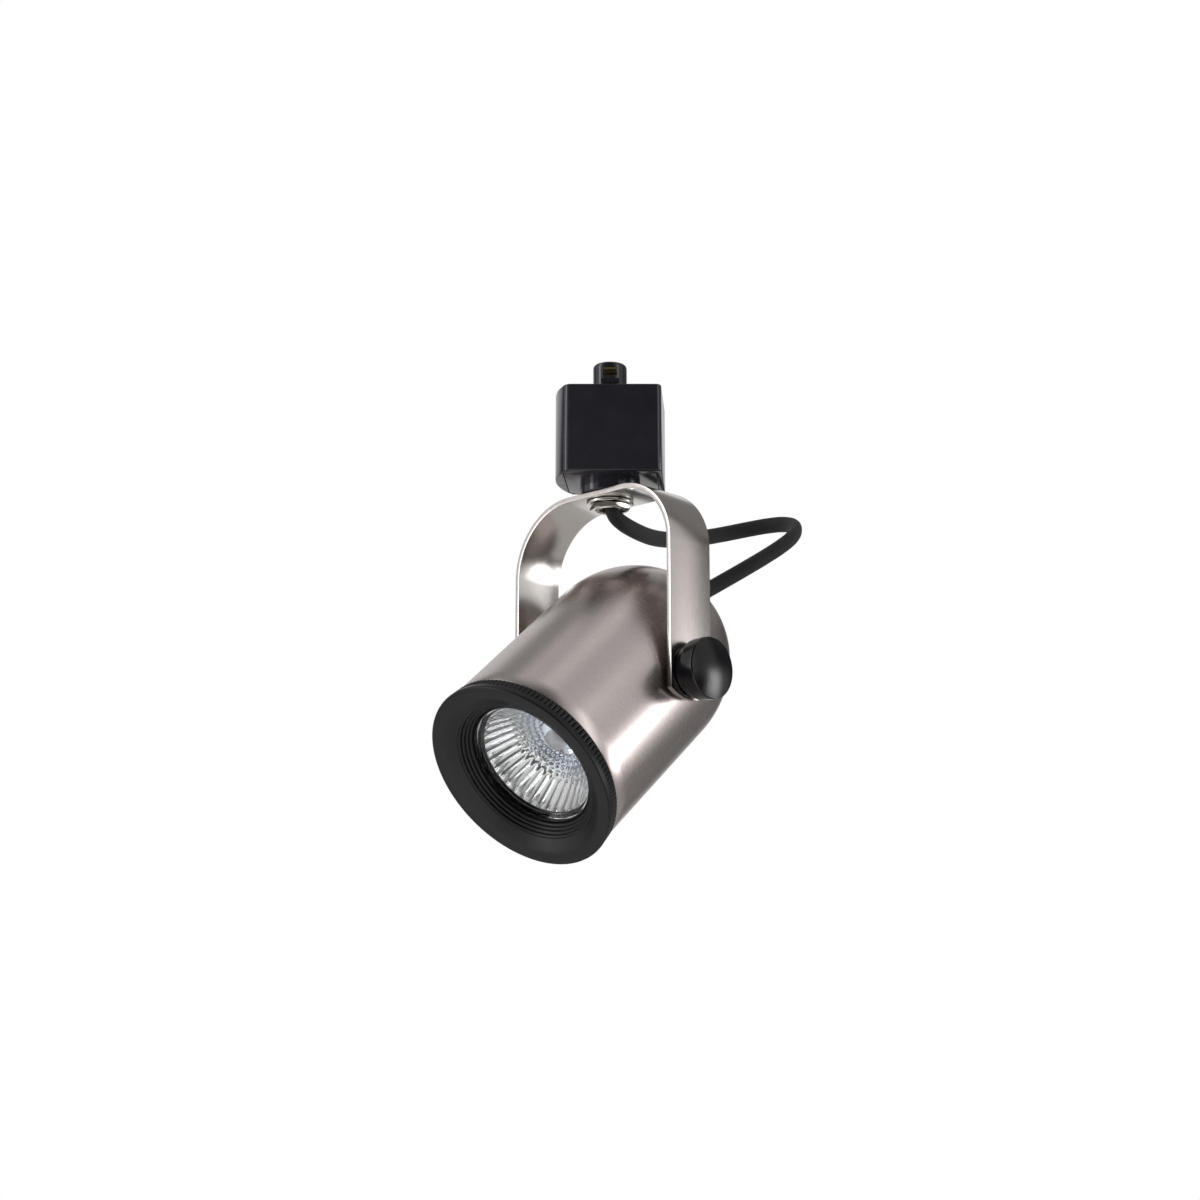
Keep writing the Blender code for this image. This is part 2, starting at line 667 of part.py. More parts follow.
def make_bayonet_pins(head):
    """Three small rivets whose inner ends hold the baffle ring."""
    for i in range(PIN_COUNT):
        cylinder("bayonet_pin_%d" % (i + 1), PIN_R, 34.3 * MM, CAN_R - 0.15 * MM, zinc_steel(), head,
                 turn=pin_place(i), sides=16)


def make_bushing(head):
    """Strain relief in the middle of the round back and its nut inside."""
    bore = CABLE_R + GAP
    apex = DOME_START + DOME_H
    foot = apex + GAP
    profile = [(bore, apex + 5.2 * MM), (4.6 * MM, apex + 5.2 * MM), (5.2 * MM, apex + 4.6 * MM),
               (6.2 * MM, apex + 1.4 * MM), (6.2 * MM, foot), (BUSHING_HOLE_R - GAP, foot),
               (BUSHING_HOLE_R - GAP, apex - 6.5 * MM), (bore, apex - 6.5 * MM)]
    turned("cable_bushing", profile, satin_black(), head, steps=22)
    nut_top = apex - CAN_WALL - 1.1 * MM
    hex_nut("bushing_nut", BUSHING_NUT_FLATS, BUSHING_HOLE_R, nut_top - BUSHING_NUT_H, nut_top,
            zinc_steel(), head)


def strap_line(inset, corner):
    """One face of the strap, from the left leg's end over the bridge to the right leg's end."""
    half = STRAP_HALF - inset
    top = SOCKET_TOP + GAP + STRAP_T - inset
    return [(-half, STRAP_LEG_END), (-half, top - corner), (-half + corner, top),
            (half - corner, top), (half, top - corner), (half, STRAP_LEG_END)]


def make_bracket(head):
    """Steel strap: a leg inside the can at each pivot and a bridge over the socket."""
    outline = list(reversed(strap_line(0, 3 * MM))) + strap_line(STRAP_T, 2.4 * MM)
    strap = prism("socket_bracket", outline, -STRAP_W / 2, STRAP_W / 2, zinc_steel(), head, STAND_UP)
    cut(strap, across("strap_pivot_ways", PIVOT_SCREW_R + GAP))
    for i, x in enumerate((*SOCKET_SCREW_X, GROUND_SCREW_X)):
        cut(strap, cylinder("strap_screw_way_%d" % i, SMALL_SCREW_R + GAP, 0, 40 * MM,
                            centre=(x, 0), sides=16))


def sector(inner, outer, start, end, count=10):
    return arc((0, 0), outer, start, end, count) + list(reversed(arc((0, 0), inner, start, end, count)))


def make_socket(head):
    """Ceramic socket with the two curved slots that the lamp's pins turn in."""
    socket = turned("lamp_socket", [(0, SOCKET_TOP), (SOCKET_R, SOCKET_TOP), (SOCKET_R, SOCKET_FACE + MM),
                                    (SOCKET_R - MM, SOCKET_FACE), (0, SOCKET_FACE)],
                    ceramic(), head, steps=32, closed=False)
    room = 34.0
    sweep = math.degrees(LAMP_TWIST)
    for i, base in enumerate((0, 180)):
        slot = prism("pin_slot_%d" % i, sector(2.2 * MM, 7.8 * MM, base - sweep - room, base + room),
                     SOCKET_FACE - MM, SOCKET_FACE + 7.0 * MM)
        cut(socket, slot)
    for i, x in enumerate(SOCKET_SCREW_X):
        cut(socket, cylinder("socket_thread_%d" % i, SMALL_SCREW_R + GAP, SOCKET_TOP - 7 * MM,
                             SOCKET_TOP + MM, centre=(x, 0), sides=16))


def small_screw(name, x, seat, length, mat, parent):
    """Pan-head screw pointing down from its seat."""
    head_r = SMALL_SCREW_HEAD_R
    top = seat + SMALL_SCREW_HEAD_H
    screw = turned(name, [(0, top), (head_r - 0.7 * MM, top), (head_r, seat + 0.9 * MM), (head_r, seat),
                          (SMALL_SCREW_R, seat), (SMALL_SCREW_R, seat - length), (0, seat - length)],
                   mat, parent, steps=12, closed=False)
    screw.location = (x, 0, 0)


def make_socket_screws(head):
    seat = SOCKET_TOP + GAP + STRAP_T + GAP
    for side, x in zip(("left", "right"), SOCKET_SCREW_X):
        small_screw("socket_screw_" + side, x, seat, 7.0 * MM, zinc_steel(), head)
    small_screw("ground_screw", GROUND_SCREW_X, seat, 4.0 * MM, brass(), head)


def make_pivot_nuts(head):
    outer = STRAP_HALF - STRAP_T - GAP
    for side, sign in (("right", 1), ("left", -1)):
        nut = hex_nut("pivot_nut_" + side, PIVOT_NUT_FLATS, PIVOT_SCREW_R + GAP, outer - PIVOT_NUT_H, outer,
                      zinc_steel(), head)
        nut.rotation_euler = (0, sign * math.pi / 2, 0)
        for step in nut.modifiers:
            step.object.rotation_euler = nut.rotation_euler


def make_friction_washers(head):
    inner = CAN_R + GAP
    outer = YOKE_HALF_SPAN - YOKE_T - GAP
    for side, sign in (("right", 1), ("left", -1)):
        washer = ring("friction_washer_" + side, PIVOT_SCREW_R + GAP, FRICTION_R, inner, outer,
                      satin_black(), head, steps=20)
        washer.rotation_euler = (0, sign * math.pi / 2, 0)


def make_head_leads(head):
    """Leads from the cable's inner end to the socket and to the ground screw."""
    start_z = DOME_START + DOME_H - 8.3 * MM
    seat = SOCKET_TOP + GAP
    ends = {"head_lead_line": ((-3.0 * MM, 9.6 * MM, seat), (0.02, 0.02, 0.02), 150),
            "head_lead_neutral": ((3.0 * MM, 9.6 * MM, seat), (0.85, 0.85, 0.82), 30),
            "head_lead_ground": ((GROUND_SCREW_X, 0, seat + STRAP_T + SMALL_SCREW_HEAD_H + 1.3 * MM),
                                 (0.03, 0.28, 0.08), 270)}
    for name, (end, colour, angle) in ends.items():
        turn = math.radians(angle)
        x = LEAD_SPREAD * math.cos(turn)
        y = LEAD_SPREAD * math.sin(turn)
        bulge = 9.0 * MM
        route = [(x, y, start_z), (x * 1.3, y * 1.3, start_z - 5 * MM),
                 ((x + end[0]) * 0.62, (y + end[1]) * 0.62, (start_z + end[2]) / 2 + 2 * MM),
                 (end[0], end[1], end[2] + bulge), end]
        wire(name, route, LEAD_R, lead_cover(name + "_cover", colour), head, per_span=4, resolution=1)


# ---------------------------------------------------------------- lamp

def make_reflector(lamp_axis):
    """Pressed glass reflector: a rim, a bowl and a neck that holds the base."""
    outer = []
    inner = []
    for i in range(1, BOWL_STEPS + 1):
        share = i / BOWL_STEPS
        radius = NECK_R + (LAMP_R - 0.8 * MM - NECK_R) * share
        depth = BOWL_DEPTH * (1 - share ** 1.9)
        outer.append((radius, LAMP_RIM + 2 * MM + depth))
        inner.append((radius - BOWL_WALL, LAMP_RIM + depth * 0.98))
    profile = [(NECK_BORE_R, NECK_END), (NECK_R + MM, NECK_END), (NECK_R + MM, NECK_START + 3 * MM)]
    profile += outer + [(LAMP_R, LAMP_RIM + 2 * MM), (LAMP_R, LAMP_RIM)]
    profile += list(reversed(inner)) + [(NECK_BORE_R, NECK_START)]
    turned("lamp_reflector", profile, mirror_glass(), lamp_axis, steps=32)


def make_lamp_glass(lamp_axis):
    z0 = LAMP_FRONT
    z1 = LAMP_FRONT + 1.2 * MM
    turned("lamp_front_glass", [(0, z1), (LAMP_R - 0.6 * MM, z1), (LAMP_R, z1 - 0.4 * MM),
                                (LAMP_R, z0 + 0.4 * MM), (LAMP_R - 0.4 * MM, z0), (0, z0)],
           clear_glass(), lamp_axis, steps=32, closed=False)


def make_lamp_base(lamp_axis):
    """Ceramic base cemented to the reflector's neck."""
    base_r = 10.0 * MM
    plug_r = NECK_BORE_R - GAP
    profile = [(0, LAMP_BASE_END), (base_r - MM, LAMP_BASE_END), (base_r, LAMP_BASE_END - MM),
               (base_r, NECK_END + GAP), (plug_r, NECK_END + GAP), (plug_r, CAPSULE_SEAT), (0, CAPSULE_SEAT)]
    base = turned("lamp_base", profile, ceramic(), lamp_axis, steps=28, closed=False)
    for i, x in enumerate((-LAMP_PIN_SPACING / 2, LAMP_PIN_SPACING / 2)):
        cut(base, cylinder("pin_seat_%d" % i, LAMP_PIN_R + GAP, LAMP_BASE_END - 3 * MM, LAMP_BASE_END + MM,
                           centre=(x, 0), sides=16))


def make_lamp_pins(lamp_axis):
    """Two mushroom pins that lock in the socket."""
    tip = LAMP_BASE_END + 5.6 * MM
    root = LAMP_BASE_END - 2.7 * MM
    profile = [(0, tip), (2.0 * MM, tip), (2.35 * MM, tip - 0.4 * MM), (2.35 * MM, tip - 2.2 * MM),
               (LAMP_PIN_R, tip - 2.2 * MM), (LAMP_PIN_R, root), (0, root)]
    for side, x in (("left", -LAMP_PIN_SPACING / 2), ("right", LAMP_PIN_SPACING / 2)):
        pin = turned("lamp_pin_" + side, profile, bright_nickel(), lamp_axis, steps=12, closed=False)
        pin.location = (x, 0, 0)


def make_capsule(lamp_axis):
    """Quartz burner, open where it stands on the base, with its filament inside."""
    top = CAPSULE_SEAT - GAP
    tip = top - 15.0 * MM
    radius = 4.5 * MM
    wall = 0.8 * MM
    outer = arc((0, tip + radius), radius, 0, -90, 4)
    inner = arc((0, tip + radius), radius - wall, -90, 0, 4)
    profile = [(radius, top)] + outer[:-1] + [(0, tip), (0, tip + wall)] + inner[1:] + [(radius - wall, top)]
    turned("lamp_capsule", profile, clear_glass(), lamp_axis, steps=18)
    leg = [(1.2 * MM, 0, top - GAP), (1.2 * MM, 0, top - 6 * MM), (1.6 * MM, 0, top - 9 * MM)]
    mirrored = [(-x, y, z) for x, y, z in leg]
    route = mirrored + [(0, 0, top - 9.8 * MM)] + list(reversed(leg))
    wire("lamp_filament", route, 0.3 * MM, tungsten(), lamp_axis, per_span=2, resolution=1)


# ---------------------------------------------------------------- baffle ring

def groove_profile():
    """The stepped bore between the smooth cone and the lamp opening."""
    start_r, start_z = CONE_R, RING_FRONT + CONE_DEPTH
    end_r, end_z = LIP_R + 0.8 * MM, RING_FRONT + LIP_DEPTH - 0.9 * MM
    points = []
    for i in range(GROOVES):
        r = start_r + (end_r - start_r) * i / GROOVES
        z = start_z + (end_z - start_z) * i / GROOVES
        next_r = start_r + (end_r - start_r) * (i + 1) / GROOVES
        points += [(r, z), (next_r, z + 0.1 * MM)]
    points += [(end_r, end_z), (LIP_R, end_z + 0.2 * MM)]
    return points


def make_baffle(baffle_axis):
    skirt_r = CAN_R - CAN_WALL - GAP
    skirt_inner = skirt_r - 1.3 * MM
    lip_back = RING_FRONT + LIP_DEPTH
    profile = [(skirt_r, SKIRT_TOP), (skirt_r, RING_SHOULDER), (RING_REAR_R, RING_SHOULDER),
               (RING_R, RING_FRONT + 0.6 * MM), (RING_R - 0.6 * MM, RING_FRONT),
               (FACE_R, RING_FRONT + 0.1 * MM)]
    profile += groove_profile()
    profile += [(LIP_R, lip_back), (LIP_R + 2.0 * MM, lip_back), (CONE_R + 1.8 * MM, RING_FRONT + 4.9 * MM),
                (skirt_inner, RING_FRONT + 2.8 * MM), (skirt_inner, SKIRT_TOP)]
    baffle = turned("baffle_ring", profile, matt_black(), baffle_axis, steps=44)
    slot_half = PIN_R + 0.4 * MM
    half = math.degrees(math.asin(slot_half / skirt_r)) + 0.3
    twist = math.degrees(RING_TWIST)
    for i in range(PIN_COUNT):
        base = 360 / PIN_COUNT * i
        lock = sector(33 * MM, 37 * MM, base - half, base + half + twist)
        entry = sector(33 * MM, 37 * MM, base - half + twist, base + half + twist, 3)
        cut(baffle, prism("lock_slot_%d" % i, lock, PIN_Z - slot_half, PIN_Z + slot_half),
            prism("entry_slot_%d" % i, entry, PIN_Z - slot_half + 0.1 * MM, SKIRT_TOP + MM))


# ---------------------------------------------------------------- thumb knobs

def make_knob(side, sign, tilt_frame):
    """Plastic thumb knob with a domed face, moulded round the head of its screw."""
    axis = axis_empty("knob_axis_" + side, (0, 0, 0), (0, sign * math.pi / 2, 0), tilt_frame)
    face = []
    for i in range(6):
        share = i / 5
        face.append(((KNOB_R - 0.3 * MM) * share, KNOB_RIM + KNOB_CROWN * (1 - share * share)))
    profile = face + [(KNOB_R, KNOB_RIM - 0.6 * MM), (KNOB_R, COLLAR_END + 1.0 * MM),
                      (KNOB_R - 0.8 * MM, COLLAR_END), (COLLAR_R, COLLAR_END), (COLLAR_R, KNOB_INNER),
                      (PIVOT_SCREW_R + GAP, KNOB_INNER), (PIVOT_SCREW_R + GAP, KNOB_THREAD_END),
                      (0, KNOB_THREAD_END)]
    turned("knob_" + side, profile, satin_black(), axis, steps=28, closed=False)
    root = KNOB_THREAD_END - GAP
    tip = KNOB_SCREW_TIP
    turned("knob_screw_" + side, [(0, root), (PIVOT_SCREW_R, root), (PIVOT_SCREW_R, tip + 0.6 * MM),
                                  (PIVOT_SCREW_R - 0.6 * MM, tip), (0, tip)],
           zinc_steel(), axis, steps=16, closed=False)


# ---------------------------------------------------------------- supply cable

CABLE_ROUTE = [             # world frame, millimetres, from the adapter to the head
    (0.0, 0.0, -19.0), (-0.2, -0.2, -27.0), (-0.4, -0.4, -34.0), (-0.5, -0.5, -39.0),
    (0.1, 0.1, -43.1), (1.4, 1.1, -46.8), (3.9, 3.6, -48.9), (7.2, 8.2, -50.0),
    (11.2, 14.6, -50.5), (15.9, 24.1, -49.9), (21.0, 35.0, -48.0), (26.3, 46.0, -45.4),
    (32.2, 56.4, -42.6), (39.4, 65.2, -39.6), (48.4, 71.5, -36.4), (58.0, 74.2, -33.9),
    (66.3, 73.2, -32.6), (72.8, 69.6, -32.8), (76.8, 64.6, -34.7), (77.6, 59.0, -38.1),
    (75.2, 53.8, -42.5), (70.0, 49.9, -47.4), (61.0, 46.6, -53.9), (52.0, 44.4, -59.8),
    (44.4, 42.2, -64.6), (38.3, 39.4, -68.7),
]


def cable_tail():
    """The last points follow the head's axis through the bushing into the can."""
    turn = Matrix.Rotation(PAN_REST, 3, "Z") @ Matrix.Rotation(TILT_REST, 3, "X")
    outward = turn @ Vector((0, 0, 1))
    pivot = Vector((0, 0, PIVOT_Z))
    apex = DOME_START + DOME_H
    return [pivot + outward * (apex + reach * MM) for reach in (8.0, 2.0, -7.9)]


def make_cable():
    route = [Vector(p) * MM for p in CABLE_ROUTE] + cable_tail()
    wire("supply_cable", route, CABLE_R, braid(), per_span=2, resolution=2)


# ---------------------------------------------------------------- assembly

def main():
    clear_scene()
    make_adapter()
    yoke_axis = axis_empty("pan_axis", (0, 0, 0), (0, 0, PAN_REST))
    make_swivel(yoke_axis)
    make_yoke(yoke_axis)
    head = axis_empty("tilt_axis", (0, 0, PIVOT_Z), (TILT_REST, 0, 0), yoke_axis)
    make_can(head)
    make_bayonet_pins(head)
    make_bushing(head)
    make_bracket(head)
    make_socket(head)
    make_socket_screws(head)
    make_pivot_nuts(head)
    make_friction_washers(head)
    make_head_leads(head)
    make_reflector(head)
    make_lamp_glass(head)
    make_lamp_base(head)
    make_lamp_pins(head)
    make_capsule(head)
    make_baffle(head)
    make_knob("right", 1, head)
    make_knob("left", -1, head)
    make_cable()


main()
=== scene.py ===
import json
import math

import bmesh
import bpy
from mathutils import Matrix, Vector


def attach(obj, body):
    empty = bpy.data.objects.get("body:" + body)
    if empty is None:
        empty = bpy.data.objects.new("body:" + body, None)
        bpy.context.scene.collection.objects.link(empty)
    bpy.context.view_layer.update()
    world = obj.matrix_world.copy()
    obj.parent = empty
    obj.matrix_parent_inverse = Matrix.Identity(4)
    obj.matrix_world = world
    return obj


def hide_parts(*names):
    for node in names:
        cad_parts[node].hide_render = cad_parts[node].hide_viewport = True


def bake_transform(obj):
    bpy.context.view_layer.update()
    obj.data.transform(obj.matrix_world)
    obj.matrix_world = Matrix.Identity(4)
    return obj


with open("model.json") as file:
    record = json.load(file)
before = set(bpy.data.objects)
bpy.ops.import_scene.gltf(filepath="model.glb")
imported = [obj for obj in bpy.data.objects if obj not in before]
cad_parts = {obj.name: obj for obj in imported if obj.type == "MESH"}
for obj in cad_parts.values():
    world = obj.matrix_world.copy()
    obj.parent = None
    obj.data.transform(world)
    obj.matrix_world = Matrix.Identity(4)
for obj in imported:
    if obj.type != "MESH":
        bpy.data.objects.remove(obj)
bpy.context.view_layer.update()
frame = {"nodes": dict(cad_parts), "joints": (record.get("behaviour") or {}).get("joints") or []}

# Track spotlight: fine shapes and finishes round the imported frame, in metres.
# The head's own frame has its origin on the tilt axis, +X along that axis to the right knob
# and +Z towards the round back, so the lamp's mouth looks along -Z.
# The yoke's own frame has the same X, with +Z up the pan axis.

MM = 0.001
GAP = 0.3 * MM              # between pieces that move on each other
FAR = 60 * MM               # beyond everything that a cutting tool has to reach
SCREW_WAY_R = 2.8 * MM      # clear way for the thumb screws
NIPPLE_WAY_R = 5.3 * MM     # clear way for the swivel nipple


# ------ places and sizes

def joint(name):
    return next(j for j in frame["joints"] if j["name"] == name)


def own_frame(origin, x_axis, z_axis):
    x = Vector(x_axis).normalized()
    z = Vector(z_axis).normalized()
    y = z.cross(x)
    turn = Matrix((x, y, z)).transposed().to_4x4()
    return Matrix.Translation(origin) @ turn


TILT_AXIS = joint("head_tilt")["axis"]
HEAD = own_frame(joint("head_tilt")["pos_m"], TILT_AXIS, -Vector(joint("baffle_twist")["axis"]))
YOKE = own_frame(joint("yoke_pan")["pos_m"], TILT_AXIS, joint("yoke_pan")["axis"])
WORLD = Matrix.Identity(4)
KNOB = {"right": HEAD @ Matrix.Rotation(math.pi / 2, 4, "Y"),
        "left": HEAD @ Matrix.Rotation(-math.pi / 2, 4, "Y")}


class Extent:
    """A CAD node's limits in a frame of its own: lo and hi corners, inner and outer radius about Z."""

    def __init__(self, node, place):
        back = place.inverted()
        points = [back @ v.co for v in frame["nodes"][node].data.vertices]
        self.lo = Vector([min(p[k] for p in points) for k in range(3)])
        self.hi = Vector([max(p[k] for p in points) for k in range(3)])
        radii = [math.hypot(p.x, p.y) for p in points]
        self.inner = min(radii)
        self.outer = max(radii)


# ------ mesh helpers

def soften(points, fillet, closed=True, count=3):
    """Rounds the corners of a line of (r, z) points; a point may carry its own radius as a third value."""
    rounded = []
    total = len(points)
    for i, point in enumerate(points):
        here = Vector(point[:2])
        radius = point[2] if len(point) > 2 else fillet
        if radius <= 0 or (not closed and i in (0, total - 1)):
            rounded.append(tuple(here))
            continue
        before = Vector(points[i - 1][:2]) - here
        after = Vector(points[(i + 1) % total][:2]) - here
        reach = min(radius, 0.45 * before.length, 0.45 * after.length)
        start = here + before.normalized() * reach
        end = here + after.normalized() * reach
        for k in range(count + 1):
            t = k / count
            rounded.append(tuple(start * (1 - t) ** 2 + here * 2 * t * (1 - t) + end * t * t))
    return rounded


def mesh_from(work, name, angle=32):
    bmesh.ops.remove_doubles(work, verts=work.verts, dist=1e-7)
    bmesh.ops.recalc_face_normals(work, faces=work.faces)
    mesh = bpy.data.meshes.new(name)
    work.to_mesh(mesh)
    work.free()
    mesh.shade_smooth()
    mesh.set_sharp_from_angle(angle=math.radians(angle))
    return mesh


def lathe(name, profile, steps, closed=True, shape=None, angle=32):
    """Turns (r, z) points round Z. shape(i, angle, r, z) may move a point and returns its (r, z)."""
    work = bmesh.new()
    rings = []
    for i, (r, z) in enumerate(profile):
        if r < 1e-6:
            rings.append([work.verts.new((0, 0, z))] * steps)
            continue
        ring = []
        for k in range(steps):
            turn = math.tau * k / steps
            rr, zz = shape(i, turn, r, z) if shape else (r, z)
            ring.append(work.verts.new((rr * math.cos(turn), rr * math.sin(turn), zz)))
        rings.append(ring)
    pairs = list(zip(rings, rings[1:]))
    if closed:
        pairs.append((rings[-1], rings[0]))
    for a, b in pairs:
        for k in range(steps):
            n = (k + 1) % steps
            corners = list(dict.fromkeys((a[k], a[n], b[n], b[k])))
            if len(corners) > 2:
                work.faces.new(corners)
    return mesh_from(work, name, angle)


def loft(name, rings):
    """Joins rings of equally many points, with a flat cap on each end."""
    work = bmesh.new()
    rows = [[work.verts.new(p) for p in ring] for ring in rings]
    count = len(rings[0])
    for a, b in zip(rows, rows[1:]):
        for k in range(count):
            n = (k + 1) % count
            work.faces.new((a[k], a[n], b[n], b[k]))
    work.faces.new(rows[0])
    work.faces.new(rows[-1])
    return mesh_from(work, name)


def prism(name, outline, z0, z1):
    """An upright piece with the same (x, y) outline at both ends."""
    return loft(name, [[(x, y, z) for x, y in outline] for z in (z0, z1)])


def slab(name, outline, z0, z1, fillet):
    """A flat piece whose rims are rounded; outline(inset) gives its edge line."""
    count = 3
    rim = []
    for k in range(count + 1):
        turn = math.pi / 2 * k / count
        rim.append((fillet * (1 - math.sin(turn)), fillet * (1 - math.cos(turn))))
    rings = [[(x, y, z0 + rise) for x, y in outline(inset)] for inset, rise in rim]
    rings += [[(x, y, z1 - rise) for x, y in outline(inset)] for inset, rise in reversed(rim)]
    return loft(name, rings)


def arc(centre, radius, start, end, count):
    """Points on an arc; angles in degrees."""
    turns = [math.radians(start + (end - start) * i / count) for i in range(count + 1)]
    return [(centre[0] + radius * math.cos(t), centre[1] + radius * math.sin(t)) for t in turns]


def bar(name, radius, z0, z1, steps=48, turn=None):
    """A plain round tool for cutting."""
    mesh = lathe(name, [(0, z1), (radius, z1), (radius, z0), (0, z0)], steps, closed=False)
    if turn is not None:
        mesh.transform(turn)
    return mesh


def block(name, lo, hi):
    work = bmesh.new()
    bmesh.ops.create_cube(work, size=1.0)
    size = Vector(hi) - Vector(lo)
    middle = (Vector(hi) + Vector(lo)) / 2
    place = Matrix.Translation(middle) @ Matrix.Diagonal((*size, 1))
    bmesh.ops.transform(work, verts=work.verts, matrix=place)
    return mesh_from(work, name)


def add_object(name, data):
    obj = bpy.data.objects.new(name, data)
    bpy.context.scene.collection.objects.link(obj)
    return obj


def combined(mesh, cuts, angle=32, first=()):
    """Applies first's (operation, tool mesh) pairs, takes the cuts away and returns the new mesh."""
    base = add_object("work", mesh)
    tools = []
    for operation, tool in [*first, *(("DIFFERENCE", cut) for cut in cuts)]:
        tools.append(add_object("tool", tool))
        step = base.modifiers.new("step", "BOOLEAN")
        step.object = tools[-1]
        step.operation = operation
        step.solver = "EXACT"
    bpy.context.view_layer.update()
    made = bpy.data.meshes.new_from_object(base.evaluated_get(bpy.context.evaluated_depsgraph_get()))
    made.name = mesh.name
    for obj in [base] + tools:
        bpy.data.objects.remove(obj)
    made.materials.clear()
    made.shade_smooth()
    made.set_sharp_from_angle(angle=math.radians(angle))
    return made


def piece(mesh, looks, body, place, replaces, pick=None):
    """A finished piece: placed by its frame, riding on a body, standing for CAD nodes.

    pick(centre, normal) gives the number of a face's look, in the piece's own frame.
    """
    for look in looks:
        mesh.materials.append(look)
    if pick:
        for face in mesh.polygons:
            face.material_index = pick(face.center, face.normal)
    mesh.transform(place)
    obj = add_object(mesh.name, mesh)
    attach(obj, body)
    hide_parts(*replaces)


# ------ materials

class Nodes:
    """A node tree under construction: add() makes a node and wires its inputs."""

    def __init__(self, tree):
        self.tree = tree

    def wire(self, socket, value):
        if isinstance(value, bpy.types.NodeSocket):
            self.tree.links.new(value, socket)
        else:
            socket.default_value = value

    def add(self, kind, inputs=None, **settings):
        node = self.tree.nodes.new(kind)
        for key, value in settings.items():
            setattr(node, key, value)
        for key, value in (inputs or {}).items():
            self.wire(node.inputs[key], value)
        return node

    def math(self, operation, *values):
        return self.add("ShaderNodeMath", dict(enumerate(values)), operation=operation).outputs[0]

    def split(self, vector):
        return self.add("ShaderNodeSeparateXYZ", {0: vector}).outputs


class Look(Nodes):
    """A material under construction, round its Principled shader."""

    def __init__(self, name, colour, roughness, metallic=0.0, **sockets):
        self.material = bpy.data.materials.new(name)
        self.material.use_nodes = True
        super().__init__(self.material.node_tree)
        self.shader = self.tree.nodes["Principled BSDF"]
        self.set("Base Color", (*colour, 1.0))
        self.set("Roughness", roughness)
        self.set("Metallic", metallic)
        for socket, value in sockets.items():
            self.set(socket.replace("_", " "), value)

    def set(self, socket, value):
        self.wire(self.shader.inputs[socket], value)

    def point(self, place=None):
        """The shaded point, in the object's frame or in one of the frames above."""
        found = self.add("ShaderNodeTexCoord").outputs["Object"]
        if place is None:
            return found
        inside = {"Vector": found, "Location": place.translation, "Rotation": place.to_euler()}
        return self.add("ShaderNodeMapping", inside, vector_type="TEXTURE").outputs[0]

    def join(self, x, y, z):
        return self.add("ShaderNodeCombineXYZ", {0: x, 1: y, 2: z}).outputs[0]

    def length(self, vector):
        return self.add("ShaderNodeVectorMath", {0: vector}, operation="LENGTH").outputs["Value"]

    def noise(self, vector, scale, detail=3.0, roughness=0.6):
        return self.add("ShaderNodeTexNoise", {"Vector": vector, "Scale": scale, "Detail": detail,
                                               "Roughness": roughness}).outputs["Fac"]

    def spread(self, value, low, high):
        """Maps the middle of a noise value onto low..high."""
        return self.add("ShaderNodeMapRange", {0: value, 1: 0.3, 2: 0.7, 3: low, 4: high}).outputs[0]

    def tint(self, factor, first, second):
        inputs = {0: factor, 6: (*first, 1.0), 7: (*second, 1.0)}
        return self.add("ShaderNodeMix", inputs, data_type="RGBA").outputs[2]

    def mottle(self, value, first, second):
        self.set("Base Color", self.tint(self.spread(value, 0.0, 1.0), first, second))

    def bump(self, height, strength, distance):
        inputs = {"Height": height, "Strength": strength, "Distance": distance}
        self.set("Normal", self.add("ShaderNodeBump", inputs).outputs[0])


def round_streaks(look, fine, long):
    """Fine lines round Z that follow a turned surface: they depend on z - r and drift with the angle."""
    x, y, z = look.split(look.point(HEAD))
    r = look.length(look.join(x, y, 0.0))
    along = look.math("MULTIPLY", look.math("SUBTRACT", z, r), fine)
    return look.join(look.math("MULTIPLY", x, long), look.math("MULTIPLY", y, long), along)


def straight_streaks(look, fine, long):
    """Fine lines along the yoke's strip, which runs up the legs and over the top."""
    x, y, z = look.split(look.point(YOKE))
    return look.join(look.math("MULTIPLY", x, long), look.math("MULTIPLY", y, fine),
                     look.math("MULTIPLY", z, long))


def brushed(name, dark, light, streaks, fine, long, rough, bump):
    """Brushed and lacquered nickel: streaks in colour, roughness and height, with soft blotches."""
    look = Look(name, light, rough, 1.0)
    lines = look.noise(streaks(look, fine, long), 1.0, 4.0, 0.65)
    broad = look.noise(streaks(look, fine * 0.12, long), 1.0, 2.0)
    cloud = look.noise(look.point(), 45.0, 2.0)
    blend = look.math("ADD", look.math("MULTIPLY", look.spread(lines, 0.0, 1.0), 0.45),
                      look.math("ADD", look.math("MULTIPLY", look.spread(broad, 0.0, 1.0), 0.35),
                                look.math("MULTIPLY", look.spread(cloud, 0.0, 1.0), 0.2)))
    look.set("Base Color", look.tint(blend, dark, light))
    look.set("Roughness", look.spread(lines, rough * 0.85, rough * 1.15))
    look.bump(lines, bump, 0.00004)
    return look.material


def plated(name, colour, rough, wear=0.06):
    """Smooth plating with faint clouds and hairlines."""
    look = Look(name, colour, rough, 1.0)
    cloud = look.noise(look.point(), 160.0, 3.0)
    hair = look.noise(look.point(), 2400.0, 2.0)
    darker = [c * 0.86 for c in colour]
    look.mottle(cloud, darker, colour)
    look.set("Roughness", look.spread(hair, rough * (1 - wear * 4), rough * (1 + wear * 4)))
    look.bump(hair, 0.05, 0.00002)
    return look.material


